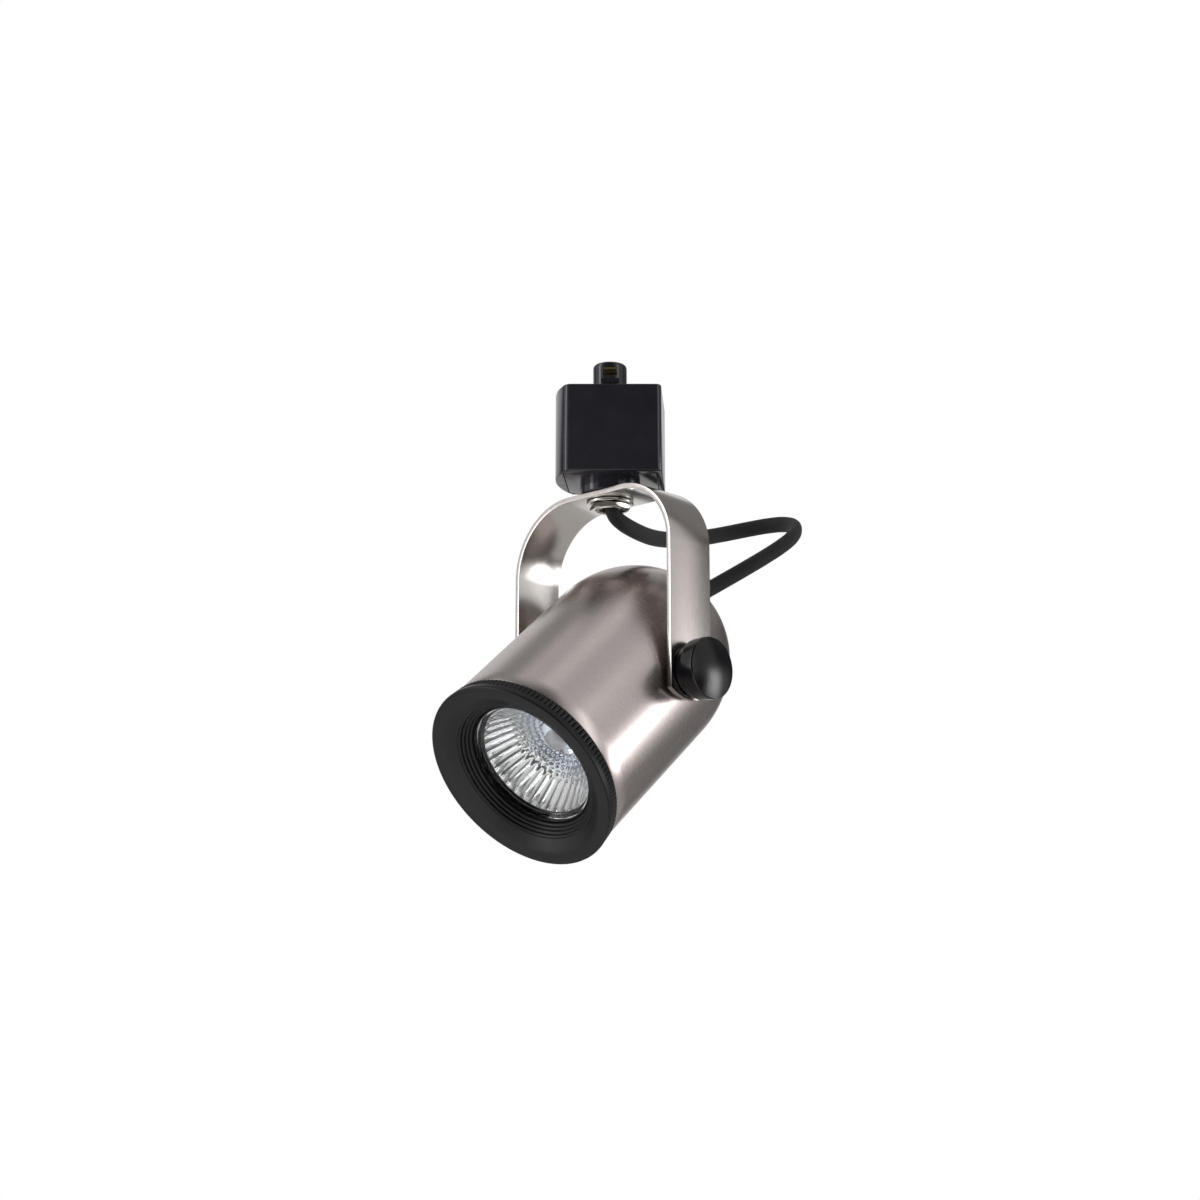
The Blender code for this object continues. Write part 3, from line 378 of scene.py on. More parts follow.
def moulded(name, colour, rough, grain, bump, **sockets):
    """Moulded plastic or paint: a fine grain and a faint drift of gloss."""
    look = Look(name, colour, rough, **sockets)
    fine = look.noise(look.point(), grain, 3.0, 0.7)
    cloud = look.noise(look.point(), 60.0, 2.0)
    lighter = [c * 1.35 + 0.002 for c in colour]
    look.mottle(cloud, colour, lighter)
    look.set("Roughness", look.spread(cloud, rough * 0.85, rough * 1.15))
    look.bump(fine, bump, 0.00005)
    return look.material


BRAID_STRANDS = 20


def braided(name):
    """Black textile sleeve: two sets of strands that cross at a slant and pass over and under; the low
    places between strands are painted darker, as painted shade.
    """
    look = Look(name, (0.012, 0.012, 0.013), 0.7, Sheen_Weight=0.12, Sheen_Roughness=0.4)
    u, v, _ = look.split(look.add("ShaderNodeUVMap", uv_map="UVMap").outputs[0])
    round_count = look.math("MULTIPLY", u, BRAID_STRANDS)
    along_count = look.math("MULTIPLY", v, BRAID_STRANDS * 1.25)
    first = look.math("MULTIPLY", look.math("ADD", round_count, along_count), math.pi)
    second = look.math("MULTIPLY", look.math("SUBTRACT", round_count, along_count), math.pi)

    def strand(across, along, sign):
        ridge = look.math("ABSOLUTE", look.math("SINE", across))
        lift = look.math("MULTIPLY_ADD", look.math("SINE", along), sign * 0.35, 0.65)
        return look.math("MULTIPLY", ridge, lift)

    height = look.math("MAXIMUM", strand(first, second, 1), strand(second, first, -1))
    fibre = look.noise(look.point(), 5200.0, 2.0)
    height = look.math("ADD", height, look.math("MULTIPLY", fibre, 0.25))
    # Colour follows the strand height: the gaps between strands get painted shade.
    look.set("Base Color", look.tint(height, (0.0005, 0.0005, 0.0006), (0.019, 0.019, 0.0205)))
    look.set("Roughness", look.spread(fibre, 0.6, 0.8))
    look.bump(height, 0.8, 0.00022)
    return look.material


def glass(name, colour=(1, 1, 1), clear=1.0):
    """Clear glass with a trace of haze."""
    look = Look(name, colour, 0.0, Transmission_Weight=clear, IOR=1.47)
    haze = look.noise(look.point(), 900.0, 2.0)
    look.set("Roughness", look.spread(haze, 0.0, 0.03))
    return look.material


BLUE_BAND_R = 11.0 * MM     # the coating looks bluest half-way down the bowl
BLUE_BAND_FADE = 9.0 * MM


def mirror_coat(name):
    """Vacuum coating on pressed glass, slightly blue, with a light orange-peel."""
    look = Look(name, (0.86, 0.88, 0.90), 0.07, 1.0)
    peel = look.noise(look.point(), 900.0, 2.0)
    x, y, _ = look.split(look.point(HEAD))
    from_band = look.math("SUBTRACT", look.length(look.join(x, y, 0.0)), BLUE_BAND_R)
    away = look.math("DIVIDE", look.math("ABSOLUTE", from_band), BLUE_BAND_FADE)
    look.mottle(away, (0.60, 0.66, 0.74), (0.95, 0.96, 0.97))
    look.set("Roughness", look.spread(peel, 0.05, 0.12))
    look.bump(peel, 0.12, 0.0001)
    return look.material


def chalky(name, colour):
    """Unglazed ceramic."""
    look = Look(name, colour, 0.6)
    grain = look.noise(look.point(), 2600.0, 3.0)
    cloud = look.noise(look.point(), 120.0)
    look.mottle(cloud, [c * 0.9 for c in colour], colour)
    look.set("Roughness", look.spread(grain, 0.5, 0.7))
    look.bump(grain, 0.15, 0.00005)
    return look.material


CAN_METAL = brushed("can_metal", (0.50, 0.445, 0.43), (0.60, 0.535, 0.52), round_streaks, 14000.0, 400.0,
                    0.29, 0.03)
STRIP_METAL = brushed("strip_metal", (0.52, 0.47, 0.45), (0.62, 0.57, 0.55), straight_streaks,
                      14000.0, 300.0, 0.19, 0.03)
# Lighter copy of the strip's nickel for its inner side: the lighter colour is painted light, not a different
# metal.
STRIP_POLISHED_LIT = brushed("strip_polished_lit", (0.66, 0.62, 0.59), (0.78, 0.74, 0.71), straight_streaks,
                         9000.0, 200.0, 0.19, 0.03)
BRIGHT = plated("bright_plate", (0.84, 0.81, 0.76), 0.22)
ZINC = plated("zinc_plate", (0.55, 0.56, 0.58), 0.30, 0.1)
BRASS = plated("brass_strip", (0.78, 0.56, 0.25), 0.24, 0.1)
TUNGSTEN = plated("tungsten", (0.45, 0.45, 0.47), 0.35)
GLOSS_BLACK = moulded("gloss_black", (0.0205, 0.0195, 0.0265), 0.13, 900.0, 0.02)
SATIN_BLACK = moulded("satin_black", (0.004, 0.0038, 0.0058), 0.175, 1300.0, 0.6, Specular_IOR_Level=0.36)
MATT_BLACK = moulded("matt_black", (0.0075, 0.0075, 0.0085), 0.38, 2600.0, 0.2, Specular_IOR_Level=0.28)
BRAID = braided("black_braid")
CLEAR = glass("clear_glass")
QUARTZ = glass("quartz", (0.97, 0.98, 1.0), 0.7)
MIRROR = mirror_coat("mirror_coat")
GLASS_BACK = moulded("reflector_back", (0.09, 0.10, 0.13), 0.25, 700.0, 0.05, Metallic=0.6)
CERAMIC = chalky("steatite", (0.82, 0.80, 0.75))
LEAD_COLOURS = (("line", "black", (0.02, 0.02, 0.02)), ("neutral", "white", (0.80, 0.80, 0.77)),
                ("ground", "green", (0.03, 0.25, 0.08)))
LEADS = {use: moulded(word + "_insulation", colour, 0.4, 900.0, 0.05) for use, word, colour in LEAD_COLOURS}


# ------ camera, light and stage

CAMERA_PLACE = (-0.00389, -0.74137, -0.24675)
CAMERA_PITCH = 12.61        # degrees upwards
LENS = 59.73                # millimetres, on a sensor 36 mm wide


def set_camera():
    """Slightly below the head, looking up at it. The frame is square."""
    data = bpy.data.cameras.new("camera")
    data.sensor_width = 36.0
    data.lens = LENS
    data.clip_start = 0.01
    camera = add_object("camera", data)
    camera.location = CAMERA_PLACE
    camera.rotation_euler = (math.radians(90 + CAMERA_PITCH), 0, 0)
    bpy.context.scene.camera = camera


STUDIO_BASE = 0.09
STUDIO = [                  # azimuth (0 is +Y, 90 is +X), half width, elevation, half height, fade, strength
    (-14, 22, 8, 34, 14, 0.85),     # white wall behind
    (-30, 60, 67, 9, 13, 0.30),     # where the wall meets the ceiling
    (115, 27, 50, 42, 12, 0.72),    # large soft box, upper right
    (0, 180, 90, 12, 10, 0.60),     # overhead
    (40, 30, 42, 15, 10, 0.22),
    (86, 5, -1, 6, 5.5, 8.0),       # bright lamp, low on the right
    (80, 14, -3, 9, 8, 0.60),
    (30, 25, -8, 10, 10, 0.10),
    (-105, 5, 10, 35, 4, 4.0),      # upright strip light on the left
    (-100, 25, 15, 35, 15, 0.90),
    (123, 5, 18, 22, 4, 1.8),
    (180, 45, -24, 9, 8, 0.45),     # pale floor in front
]


def set_world():
    """A white studio: soft boxes by direction. The wall that shows behind the light is plain white."""
    world = bpy.data.worlds.new("studio")
    bpy.context.scene.world = world
    world.use_nodes = True
    world.node_tree.nodes.clear()
    sky = Nodes(world.node_tree)

    def within(angle, middle, half, fade):
        """1 within half degrees of the middle, falling to 0 over the fade."""
        apart = sky.math("WRAP", sky.math("SUBTRACT", angle, math.radians(middle)), math.pi, -math.pi)
        limits = {0: sky.math("ABSOLUTE", apart), 1: math.radians(half + fade), 2: math.radians(half)}
        return sky.add("ShaderNodeMapRange", limits, interpolation_type="SMOOTHSTEP").outputs[0]

    x, y, z = sky.split(sky.add("ShaderNodeTexCoord").outputs["Generated"])
    azimuth = sky.math("ARCTAN2", x, y)
    elevation = sky.math("ARCSINE", z)
    total = STUDIO_BASE
    for side, width, height, tall, fade, strength in STUDIO:
        shape = sky.math("MULTIPLY", within(azimuth, side, width, fade),
                         within(elevation, height, tall, fade))
        total = sky.math("ADD", total, sky.math("MULTIPLY", shape, strength))
    soft = sky.add("ShaderNodeBackground", {"Strength": total})
    white = sky.add("ShaderNodeBackground", {"Color": (1, 1, 1, 1), "Strength": 1.0})
    seen = sky.add("ShaderNodeLightPath").outputs["Is Camera Ray"]
    mix = sky.add("ShaderNodeMixShader", {0: seen, 1: soft.outputs[0], 2: white.outputs[0]})
    sky.add("ShaderNodeOutputWorld", {"Surface": mix.outputs[0]})


FLOOR_WASH = 3.0            # watts, on the floor that the reflector looks at


def set_stage():
    """A pale floor well below the hanging light."""
    look = Look("floor_paint", (0.82, 0.81, 0.79), 0.6)
    look.mottle(look.noise(look.point(), 3.0), (0.80, 0.79, 0.77), (0.84, 0.83, 0.81))
    size = 1.5
    floor = block("floor", (-size, -size, -0.62), (size, size, -0.60))
    floor.materials.append(look.material)
    obj = add_object("floor", floor)
    wash = bpy.data.lights.new("floor_wash", "AREA")
    wash.size = 0.8
    wash.energy = FLOOR_WASH
    add_object("floor_wash", wash).location = (-0.40, -0.42, -0.40)


# ------ supply cable

CABLE_ROUTE = [             # row frame, millimetres, from the adapter to the head
    (0.0, 0.0, -19.0), (-0.2, -0.2, -27.0), (-0.4, -0.4, -34.0), (-0.5, -0.5, -39.0),
    (0.1, 0.1, -43.1), (1.4, 1.1, -46.8), (3.9, 3.6, -48.9), (7.2, 8.2, -50.0),
    (11.2, 14.6, -50.5), (15.9, 24.1, -49.9), (21.0, 35.0, -48.0), (26.3, 46.0, -45.4),
    (32.2, 56.4, -42.6), (39.4, 65.2, -39.6), (48.4, 71.5, -36.4), (58.0, 73.95, -33.9),
    (66.3, 73.2, -32.6), (72.8, 69.6, -32.8), (76.7, 64.6, -34.7), (77.4, 59.0, -38.1),
    (75.2, 53.8, -42.5), (70.0, 49.9, -47.4), (61.0, 46.6, -53.9), (52.0, 44.4, -59.8),
    (44.4, 42.2, -64.6), (38.3, 39.4, -68.7),
]
CABLE_R = 3.05 * MM
WIRE_TWIST = 38 * MM        # length of one turn of the wires inside
FLATNESS = 0.13             # a level stretch is this much taller and narrower than a round one


def smooth_route(route, per_span):
    """A Catmull-Rom curve through the route's points."""
    points = [Vector(p) for p in route]
    ends = [points[0] * 2 - points[1]] + points + [points[-1] * 2 - points[-2]]
    found = []
    for a, b, c, d in zip(ends, ends[1:], ends[2:], ends[3:]):
        for i in range(per_span):
            t = i / per_span
            found.append(0.5 * (2 * b + (c - a) * t + (2 * a - 5 * b + 4 * c - d) * t * t
                                + (3 * b - a - 3 * c + d) * t * t * t))
    found.append(points[-1])
    return found


def distances(line):
    """How far along the line each of its points lies."""
    found = [0.0]
    for a, b in zip(line, line[1:]):
        found.append(found[-1] + (b - a).length)
    return found


def tube(name, line, radius, sides, shape=None):
    """A closed round tube on a line, with UVs: u round it, v along it in circumferences."""
    work = bmesh.new()
    uv = work.loops.layers.uv.new("UVMap")
    lengths = distances(line)
    up = (line[1] - line[0]).orthogonal().normalized()
    rows = []
    for i, point in enumerate(line):
        ahead = (line[min(i + 1, len(line) - 1)] - line[max(i - 1, 0)]).normalized()
        up = (up - ahead * up.dot(ahead)).normalized()
        side = ahead.cross(up)
        row = []
        for k in range(sides):
            turn = math.tau * k / sides
            outward = up * math.cos(turn) + side * math.sin(turn)
            r = radius * (shape(turn, lengths[i], outward.z) if shape else 1.0)
            row.append(work.verts.new(point + outward * r))
        rows.append(row)
    for i, (a, b) in enumerate(zip(rows, rows[1:])):
        for k in range(sides):
            n = (k + 1) % sides
            face = work.faces.new((a[k], a[n], b[n], b[k]))
            places = ((k, i), (k + 1, i), (k + 1, i + 1), (k, i + 1))
            for loop, (column, station) in zip(face.loops, places):
                loop[uv].uv = (column / sides, lengths[station] / (math.tau * radius))
    work.faces.new(rows[0])
    work.faces.new(rows[-1])
    return mesh_from(work, name)


def make_cable():
    """Braided cable out of the nipple, behind the head and into the bushing."""
    bushing = Extent("cable_bushing", HEAD)
    apex = bushing.lo.z + 6.5 * MM
    tail = [HEAD @ Vector((0, 0, apex + reach * MM)) for reach in (8.0, 2.0, -7.9)]
    route = [Vector(p) * MM for p in CABLE_ROUTE] + tail
    line = smooth_route(route, 10)

    def sleeve(turn, along, upright):
        """Three wires make the sleeve slightly lobed; it's taller than wide where it lies level."""
        lobes = 0.965 + 0.018 * math.cos(3 * turn + along / WIRE_TWIST * math.tau)
        return lobes * (1 + FLATNESS * (2 * upright ** 2 - 1))

    mesh = tube("supply_cable_braid", line, CABLE_R, 32, sleeve)
    mesh.materials.append(BRAID)
    obj = add_object(mesh.name, mesh)
    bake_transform(obj)
    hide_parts("supply_cable")


# ------ track adapter

ADAPTER_D = 34.9 * MM
ADAPTER_WALL = 2.0 * MM
BOW_CENTRE = (10.9 * MM, -1.6 * MM)     # the left end is an arc
BOW_R = 32.0 * MM
SIDE_FRONT_X = 19.4 * MM                # the right side slants
SIDE_REAR_X = 22.0 * MM
CORNER_R = (3.5 * MM, 2.2 * MM, 2.0 * MM)       # front left, front right, rear right
SHARP_R = 0.05 * MM                     # least radius that is left inside the wall
PLATE_CORNERS = [(x * MM, y * MM) for x, y in ((-17.95, -13.4), (17.5, -13.4), (19.65, 16.2),
                                               (-12.8, 16.2), (-16.0, 13.6))]
PLATE_T = 1.8 * MM
HUB_R = 11.6 * MM
TURRET_R = 6.6 * MM
TURRET_COLLAR_R = 9.0 * MM
TURRET_COLLAR_TOP = -2.4 * MM


def grown(corners, amount):
    """A convex outline with each edge moved out by the same amount."""
    edges = []
    for i, (x0, y0) in enumerate(corners):
        x1, y1 = corners[(i + 1) % len(corners)]
        length = math.hypot(x1 - x0, y1 - y0)
        nx, ny = (y1 - y0) / length, (x0 - x1) / length
        edges.append((nx, ny, nx * x0 + ny * y0 + amount))
    points = []
    for i, (ax, ay, a) in enumerate(edges):
        bx, by, b = edges[i - 1]
        det = ax * by - ay * bx
        points.append(((a * by - b * ay) / det, (ax * b - bx * a) / det))
    return points


def fillet_corner(before, here, after, radius):
    """Points of a rounded corner between two straight edges."""
    here = Vector(here)
    back = (Vector(before) - here).normalized()
    ahead = (Vector(after) - here).normalized()
    half = back.angle(ahead) / 2
    centre = here + (back + ahead).normalized() * (radius / math.sin(half))
    first = here + back * (radius / math.tan(half)) - centre
    last = here + ahead * (radius / math.tan(half)) - centre
    start = math.degrees(math.atan2(first.y, first.x))
    turn = math.degrees(math.atan2(first.cross(last), first.dot(last)))
    return arc(centre, radius, start, start + turn, 8)


def housing_outline(inset):
    """The housing seen from above: a bowed left end and a slanted right side."""
    front, rear = -ADAPTER_D / 2 + inset, ADAPTER_D / 2 - inset
    radius = BOW_R - inset
    corner_r = max(CORNER_R[0] - inset, SHARP_R)
    reach = radius - corner_r
    drop = BOW_CENTRE[1] - front - corner_r
    corner = (BOW_CENTRE[0] - math.sqrt(reach ** 2 - drop ** 2), front + corner_r)
    rise = math.degrees(math.asin((rear - BOW_CENTRE[1]) / radius))
    fall = math.degrees(math.asin(drop / reach))
    points = arc(BOW_CENTRE, radius, 180 - rise, 180 + fall, 24)
    points += arc(corner, corner_r, 180 + fall, 270, 10)[1:]
    slope = (SIDE_REAR_X - SIDE_FRONT_X) / ADAPTER_D
    shift = inset * math.hypot(1, slope)
    right_front = (SIDE_FRONT_X + slope * inset - shift, front)
    right_rear = (SIDE_REAR_X - slope * inset - shift, rear)
    corners = (points[-1], right_front, right_rear, points[0])
    for i, full_r in enumerate(CORNER_R[1:]):
        points += fillet_corner(*corners[i:i + 3], max(full_r - inset, SHARP_R))
    return points


def make_shell(node):
    """One moulded half: rounded outside, hollow inside, open at the joint plane and under the plate."""
    size = Extent(node, WORLD)
    low, top = size.lo.z, size.hi.z
    shell = slab(node + "_body", housing_outline, low, top, 0.6 * MM)

    def inside(inset):
        return housing_outline(ADAPTER_WALL + inset)

    hollow = slab("hollow", inside, low + ADAPTER_WALL, top - ADAPTER_WALL, 0.3 * MM)
    opening = prism("opening", grown(PLATE_CORNERS, 0.22 * MM), low - MM, low + 2 * ADAPTER_WALL)
    stem_way = bar("stem_way", TURRET_R + 0.25 * MM, -3 * ADAPTER_WALL / 2, MM)
    if size.lo.y < 0:
        other = block("other_half", (-FAR, size.hi.y, -FAR), (FAR, FAR, FAR))
    else:
        other = block("other_half", (-FAR, -FAR, -FAR), (FAR, size.lo.y, FAR))
    cuts = [hollow, opening, stem_way, other]
    if size.lo.y > 0:
        for side in ("left", "right"):
            screw = Extent("adapter_screw_" + side, WORLD)
            middle = (screw.lo + screw.hi) / 2
            face_rear = Matrix.Translation((middle.x, 0, middle.z)) @ Matrix.Rotation(-math.pi / 2, 4, "X")
            cuts.append(bar("sink", 2.9 * MM, size.hi.y - 2 * MM, size.hi.y + MM, turn=face_rear))
    return combined(shell, cuts)


def make_adapter():
    for node in ("adapter_front_shell", "adapter_rear_shell"):
        piece(make_shell(node), [GLOSS_BLACK], "adapter", WORLD, [node])
    make_plate_and_hub()
    make_turret()


def make_plate_and_hub():
    """Five-cornered plate with the round hub that the yoke turns under."""
    size = Extent("adapter_bottom_plate", WORLD)
    flat = Extent("adapter_front_shell", WORLD).lo.z

    def outline(inset):
        return grown(PLATE_CORNERS, -inset)

    plate = slab("bottom_plate", outline, flat, flat + PLATE_T, 0.25 * MM)
    hub_top = size.hi.z - 3 * MM
    profile = soften([(NIPPLE_WAY_R, hub_top), (HUB_R, hub_top), (HUB_R, size.lo.z, 0.9 * MM),
                      (NIPPLE_WAY_R, size.lo.z, 0.3 * MM)], 0.2 * MM, count=5)
    hub = lathe("hub", profile, 96)
    way = bar("bore", NIPPLE_WAY_R, size.lo.z - MM, size.hi.z + MM, 96)
    mesh = combined(plate, [way], first=[("UNION", hub)])
    piece(mesh, [GLOSS_BLACK], "adapter", WORLD, ["adapter_bottom_plate"])


def make_turret():
    """Stem with rounded crown, collar inside the housing, two lock lugs and slots for the blades."""
    size = Extent("contact_turret", WORLD)
    top = size.hi.z
    profile = soften([(0, top), (TURRET_R, top, 1.6 * MM), (TURRET_R, TURRET_COLLAR_TOP),
                      (TURRET_COLLAR_R, TURRET_COLLAR_TOP), (TURRET_COLLAR_R, size.lo.z),
                      (0, size.lo.z)], 0.3 * MM, closed=False, count=5)
    stem = lathe("contact_turret_body", profile, 64, closed=False)
    half = size.hi.y

    def lug(inset):
        width = 3.5 * MM - inset
        reach = half - inset
        return [(-width, -reach), (width, -reach), (width, reach), (-width, reach)]

    lugs = slab("lugs", lug, 2.4 * MM, 4.6 * MM, 0.5 * MM)
    cuts = [bar("channel", 4.6 * MM, -8 * MM, 11.2 * MM)]
    gap = 0.25 * MM
    for blade in ("line_contact_blade", "neutral_contact_blade", "ground_contact_blade"):
        tongue = Extent(blade, WORLD)
        side = 1 if tongue.hi.y > 5 * MM else -1
        y0, y1 = sorted((side * 2.5 * MM, side * 10.5 * MM))
        cuts.append(block("slot", (tongue.lo.x - gap, y0, tongue.hi.z - 0.8 * MM - gap),
                          (tongue.hi.x + gap, y1, tongue.hi.z + gap)))
    mesh = combined(stem, cuts, first=[("UNION", lugs)])
    piece(mesh, [GLOSS_BLACK], "adapter", WORLD, ["contact_turret"])


# ------ yoke and swivel

YOKE_T = 2.0 * MM
YOKE_END_R = 19.0 * MM
EDGE_R = 0.22 * MM
BEND_LEFT_R = 28.5 * MM
BEND_RIGHT_R = 25.0 * MM


def strip_line(half, top, bottom, left_r, right_r):
    """The strip's middle line in X-Z, from the left leg's end over the top to the right leg's end."""
    count = 36
    left = arc((-half + left_r, top - left_r), left_r, 180, 90, count)
    right = arc((half - right_r, top - right_r), right_r, 90, 0, count)
    legs = 14
    up = [(-half, bottom + (left[0][1] - bottom) * k / legs) for k in range(legs)]
    down = [(half, right[-1][1] + (bottom - right[-1][1]) * k / legs) for k in range(1, legs + 1)]
    over = 6
    across = [(left[-1][0] + (right[0][0] - left[-1][0]) * k / over, top) for k in range(1, over)]
    return up + left + across + right + down


def make_yoke():
    """Bent strip with rounded leg ends, bored for the nipple and the thumb screws."""
    size = Extent("yoke", YOKE)
    half = size.hi.x - YOKE_T / 2
    thick = YOKE_T / 2
    line = strip_line(half, size.hi.z - thick, size.lo.z - MM, BEND_LEFT_R - thick, BEND_RIGHT_R - thick)
    width = size.hi.y
    section = soften([(-width, -thick), (width, -thick), (width, thick), (-width, thick)], EDGE_R)
    rings = []
    for i, (x, z) in enumerate(line):
        before = Vector(line[max(i - 1, 0)])
        after = Vector(line[min(i + 1, len(line) - 1)])
        ahead = (after - before).normalized()
        outward = Vector((-ahead.y, ahead.x))
        rings.append([(x + outward.x * t, w, z + outward.y * t) for w, t in section])
    strip = loft("yoke_strip", rings)
    reach = width + MM
    spread = math.degrees(math.asin(reach / YOKE_END_R))
    edge_line = arc((0, size.lo.z + YOKE_END_R), YOKE_END_R, 270 - spread, 270 + spread, 32)
    low = size.lo.z - 8 * MM
    outline = edge_line + [(reach, low), (-reach, low)]
    ends = loft("ends", [[(x, y, z) for y, z in outline] for x in (-FAR, FAR)])
    pivot_z = (HEAD.translation - YOKE.translation).z
    along_x = Matrix.Translation((0, 0, pivot_z)) @ Matrix.Rotation(math.pi / 2, 4, "Y")
    cuts = [ends, bar("pivots", SCREW_WAY_R, -FAR, FAR, turn=along_x),
            bar("stem", NIPPLE_WAY_R, size.hi.z - 5 * MM, size.hi.z + 5 * MM)]

    def polished_lit_side(centre, normal):
        """The strip's inner side has its own streaks and is painted brighter than its outer side and edges:
        the brighter colour is painted light.
        """
        bend = BEND_RIGHT_R if centre.x > 0 else BEND_LEFT_R
        x = math.copysign(min(abs(centre.x), half + thick - bend), centre.x)
        towards = Vector((x - centre.x, 0, min(centre.z, size.hi.z - bend) - centre.z))
        return 1 if normal.dot(towards) > 0.2 * towards.length else 0

    mesh = combined(strip, cuts)
    piece(mesh, [STRIP_METAL, STRIP_POLISHED_LIT], "yoke", YOKE, ["yoke"], polished_lit_side)


def hexagon(across_flats):
    """Corners of a hexagon round the origin."""
    return arc((0, 0), across_flats / math.sqrt(3), 30, 330, 5)


def nut(name, across_flats, bore, z0, z1):
    """Hex nut: rounded hexagon with cone chamfers on both ends and a chamfered bore."""
    steps = 96
    six_sided = prism(name, hexagon(across_flats), z0, z1)
    flat = across_flats / 2
    corner = across_flats / math.sqrt(3) + 0.1 * MM
    fall = 0.55 * (corner - flat)
    slant = [(0, z1), (flat, z1), (corner, z1 - fall), (corner, z0 + fall), (flat, z0), (0, z0)]
    cone = lathe("cone", slant, steps, closed=False)
    lead = 0.5 * MM
    hole = lathe("hole", [(0, z1 + MM), (bore + lead + MM, z1 + MM), (bore, z1 - lead), (bore, z0 + lead),
                          (bore + lead + MM, z0 - MM), (0, z0 - MM)], steps, closed=False)
    return combined(six_sided, [hole], first=[("INTERSECT", cone)])


def washer(name, size, steps=96):
    """A flat ring of a CAD washer's size, with softened edges."""
    low, top = size.lo.z, size.hi.z
    section = [(size.inner, top), (size.outer, top), (size.outer, low), (size.inner, low)]
    return lathe(name, soften(section, EDGE_R), steps)


def make_swivel():
    """Threaded nipple with the washer and nut that hold the yoke."""
    size = Extent("swivel_nipple", YOKE)
    outer, low, top = size.outer, size.lo.z, size.hi.z
    bore = 4.1 * MM
    thread = []
    turns = int((top - low - 1.2 * MM) / MM)
    for i in range(turns):
        z = low + 0.6 * MM + i * MM
        thread += [(outer - 0.05 * MM, z), (outer - 0.45 * MM, z + 0.5 * MM)]
    outside = [(outer - 0.4 * MM, top)] + list(reversed(thread)) + [(outer - 0.1 * MM, low + 0.4 * MM)]
    profile = [(bore, top)] + outside + [(outer - 0.35 * MM, low), (outer - 0.5 * MM, low),
                                         (bore, low + 2.2 * MM)]
    thread_mesh = lathe("nipple_thread", profile, 64, angle=20)
    piece(thread_mesh, [BRIGHT], "yoke", YOKE, ["swivel_nipple"])
    size = Extent("yoke_washer", YOKE)
    ring = washer("yoke_washer_ring", size)
    piece(ring, [BRIGHT], "yoke", YOKE, ["yoke_washer"])
    size = Extent("yoke_nut", YOKE)
    body = nut("yoke_nut_body", size.outer * math.sqrt(3), size.inner, size.lo.z, size.hi.z)
    piece(body, [BRIGHT], "yoke", YOKE, ["yoke_nut"])


# ------ lamp head

CAN_WALL = 1.2 * MM
DOME_START = 14.1 * MM


def dome_points(radius, height, r_end, count):
    """Quarter ellipse from near the apex down to the cylinder."""
    first = math.acos(r_end / radius)
    angles = [first * (1 - i / count) for i in range(count + 1)]
    return [(radius * math.cos(turn), DOME_START + height * math.sin(turn)) for turn in angles]


def make_can():
    """Turned shell with a round back, a rolled front edge and the pivot holes."""
    size = Extent("head_can", HEAD)
    radius = size.outer
    hole = size.inner
    height = (size.hi.z - DOME_START) / math.sin(math.acos(hole / radius))
    outer = dome_points(radius, height, hole, 40)
    inner = dome_points(radius - CAN_WALL, height - CAN_WALL, hole, 28)
    rows = 12
    edge = size.lo.z + 0.5 * MM
    side = [(radius, DOME_START + (edge - DOME_START) * k / rows) for k in range(1, rows + 1)]
    lip = [(radius - 0.15 * MM, size.lo.z + 0.15 * MM), (radius - 0.5 * MM, size.lo.z),
           (radius - CAN_WALL, size.lo.z)]
    can = lathe("can_shell", outer + side + lip + list(reversed(inner)), 192)
    along_x = Matrix.Rotation(math.pi / 2, 4, "Y")
    mesh = combined(can, [bar("pivots", SCREW_WAY_R, -FAR, FAR, turn=along_x)])
    piece(mesh, [CAN_METAL], "head", HEAD, ["head_can"])


def make_bushing():
    """Ribbed strain relief in the middle of the round back."""
    size = Extent("cable_bushing", HEAD)
    bore, wide, low, top = size.inner, size.outer, size.lo.z, size.hi.z
    seat = low + 6.8 * MM
    ribs = []
    for i in range(4):
        z = top - 0.7 * MM - i * 1.0 * MM
        r = 4.7 * MM + 0.25 * MM * i
        ribs += [(r, z), (r, z - 0.45 * MM), (r - 0.35 * MM, z - 0.55 * MM), (r - 0.3 * MM, z - 0.95 * MM)]
    profile = [(bore, top), (4.4 * MM, top)] + ribs + [(wide, seat + 0.6 * MM), (wide, seat),
                                                       (4.7 * MM, seat), (4.7 * MM, low), (bore, low)]
    body = lathe("bushing_body", soften(profile, 0.12 * MM, count=2), 64)
    piece(body, [SATIN_BLACK], "head", HEAD, ["cable_bushing"])


def make_friction_washers():
    for side in ("right", "left"):
        size = Extent("friction_washer_" + side, KNOB[side])
        piece(washer("friction_disc_" + side, size, 64), [SATIN_BLACK], "head", KNOB[side],
              ["friction_washer_" + side])


# ------ baffle ring

TEETH = 132
TOOTH_DEPTH = 0.75 * MM
REAR_R = 37.7 * MM          # the band tapers towards the can
FACE_R = 33.7 * MM
CONE_R = 28.8 * MM
CONE_DEPTH = 3.5 * MM
LIP_R = 24.4 * MM
LIP_DEPTH = 9.1 * MM
RIDGES = 4
SKIRT_WALL = 1.3 * MM
PLAIN_RIM = 2.9 * MM        # rounded part in front of the teeth
RIM_ROUND = ((0, 0.75), (0.1, 0.45), (0.3, 0.2), (0.65, 0.06), (1.1, 0), (2.4, 0.12))     # mm inwards, mm up
PIN_HALF = 1.6 * MM
SLOT_SPAN = (33 * MM, 37 * MM)      # inner and outer radius that cut right through the skirt
RING_TWIST = math.radians(joint("baffle_twist")["range_deg"][1])


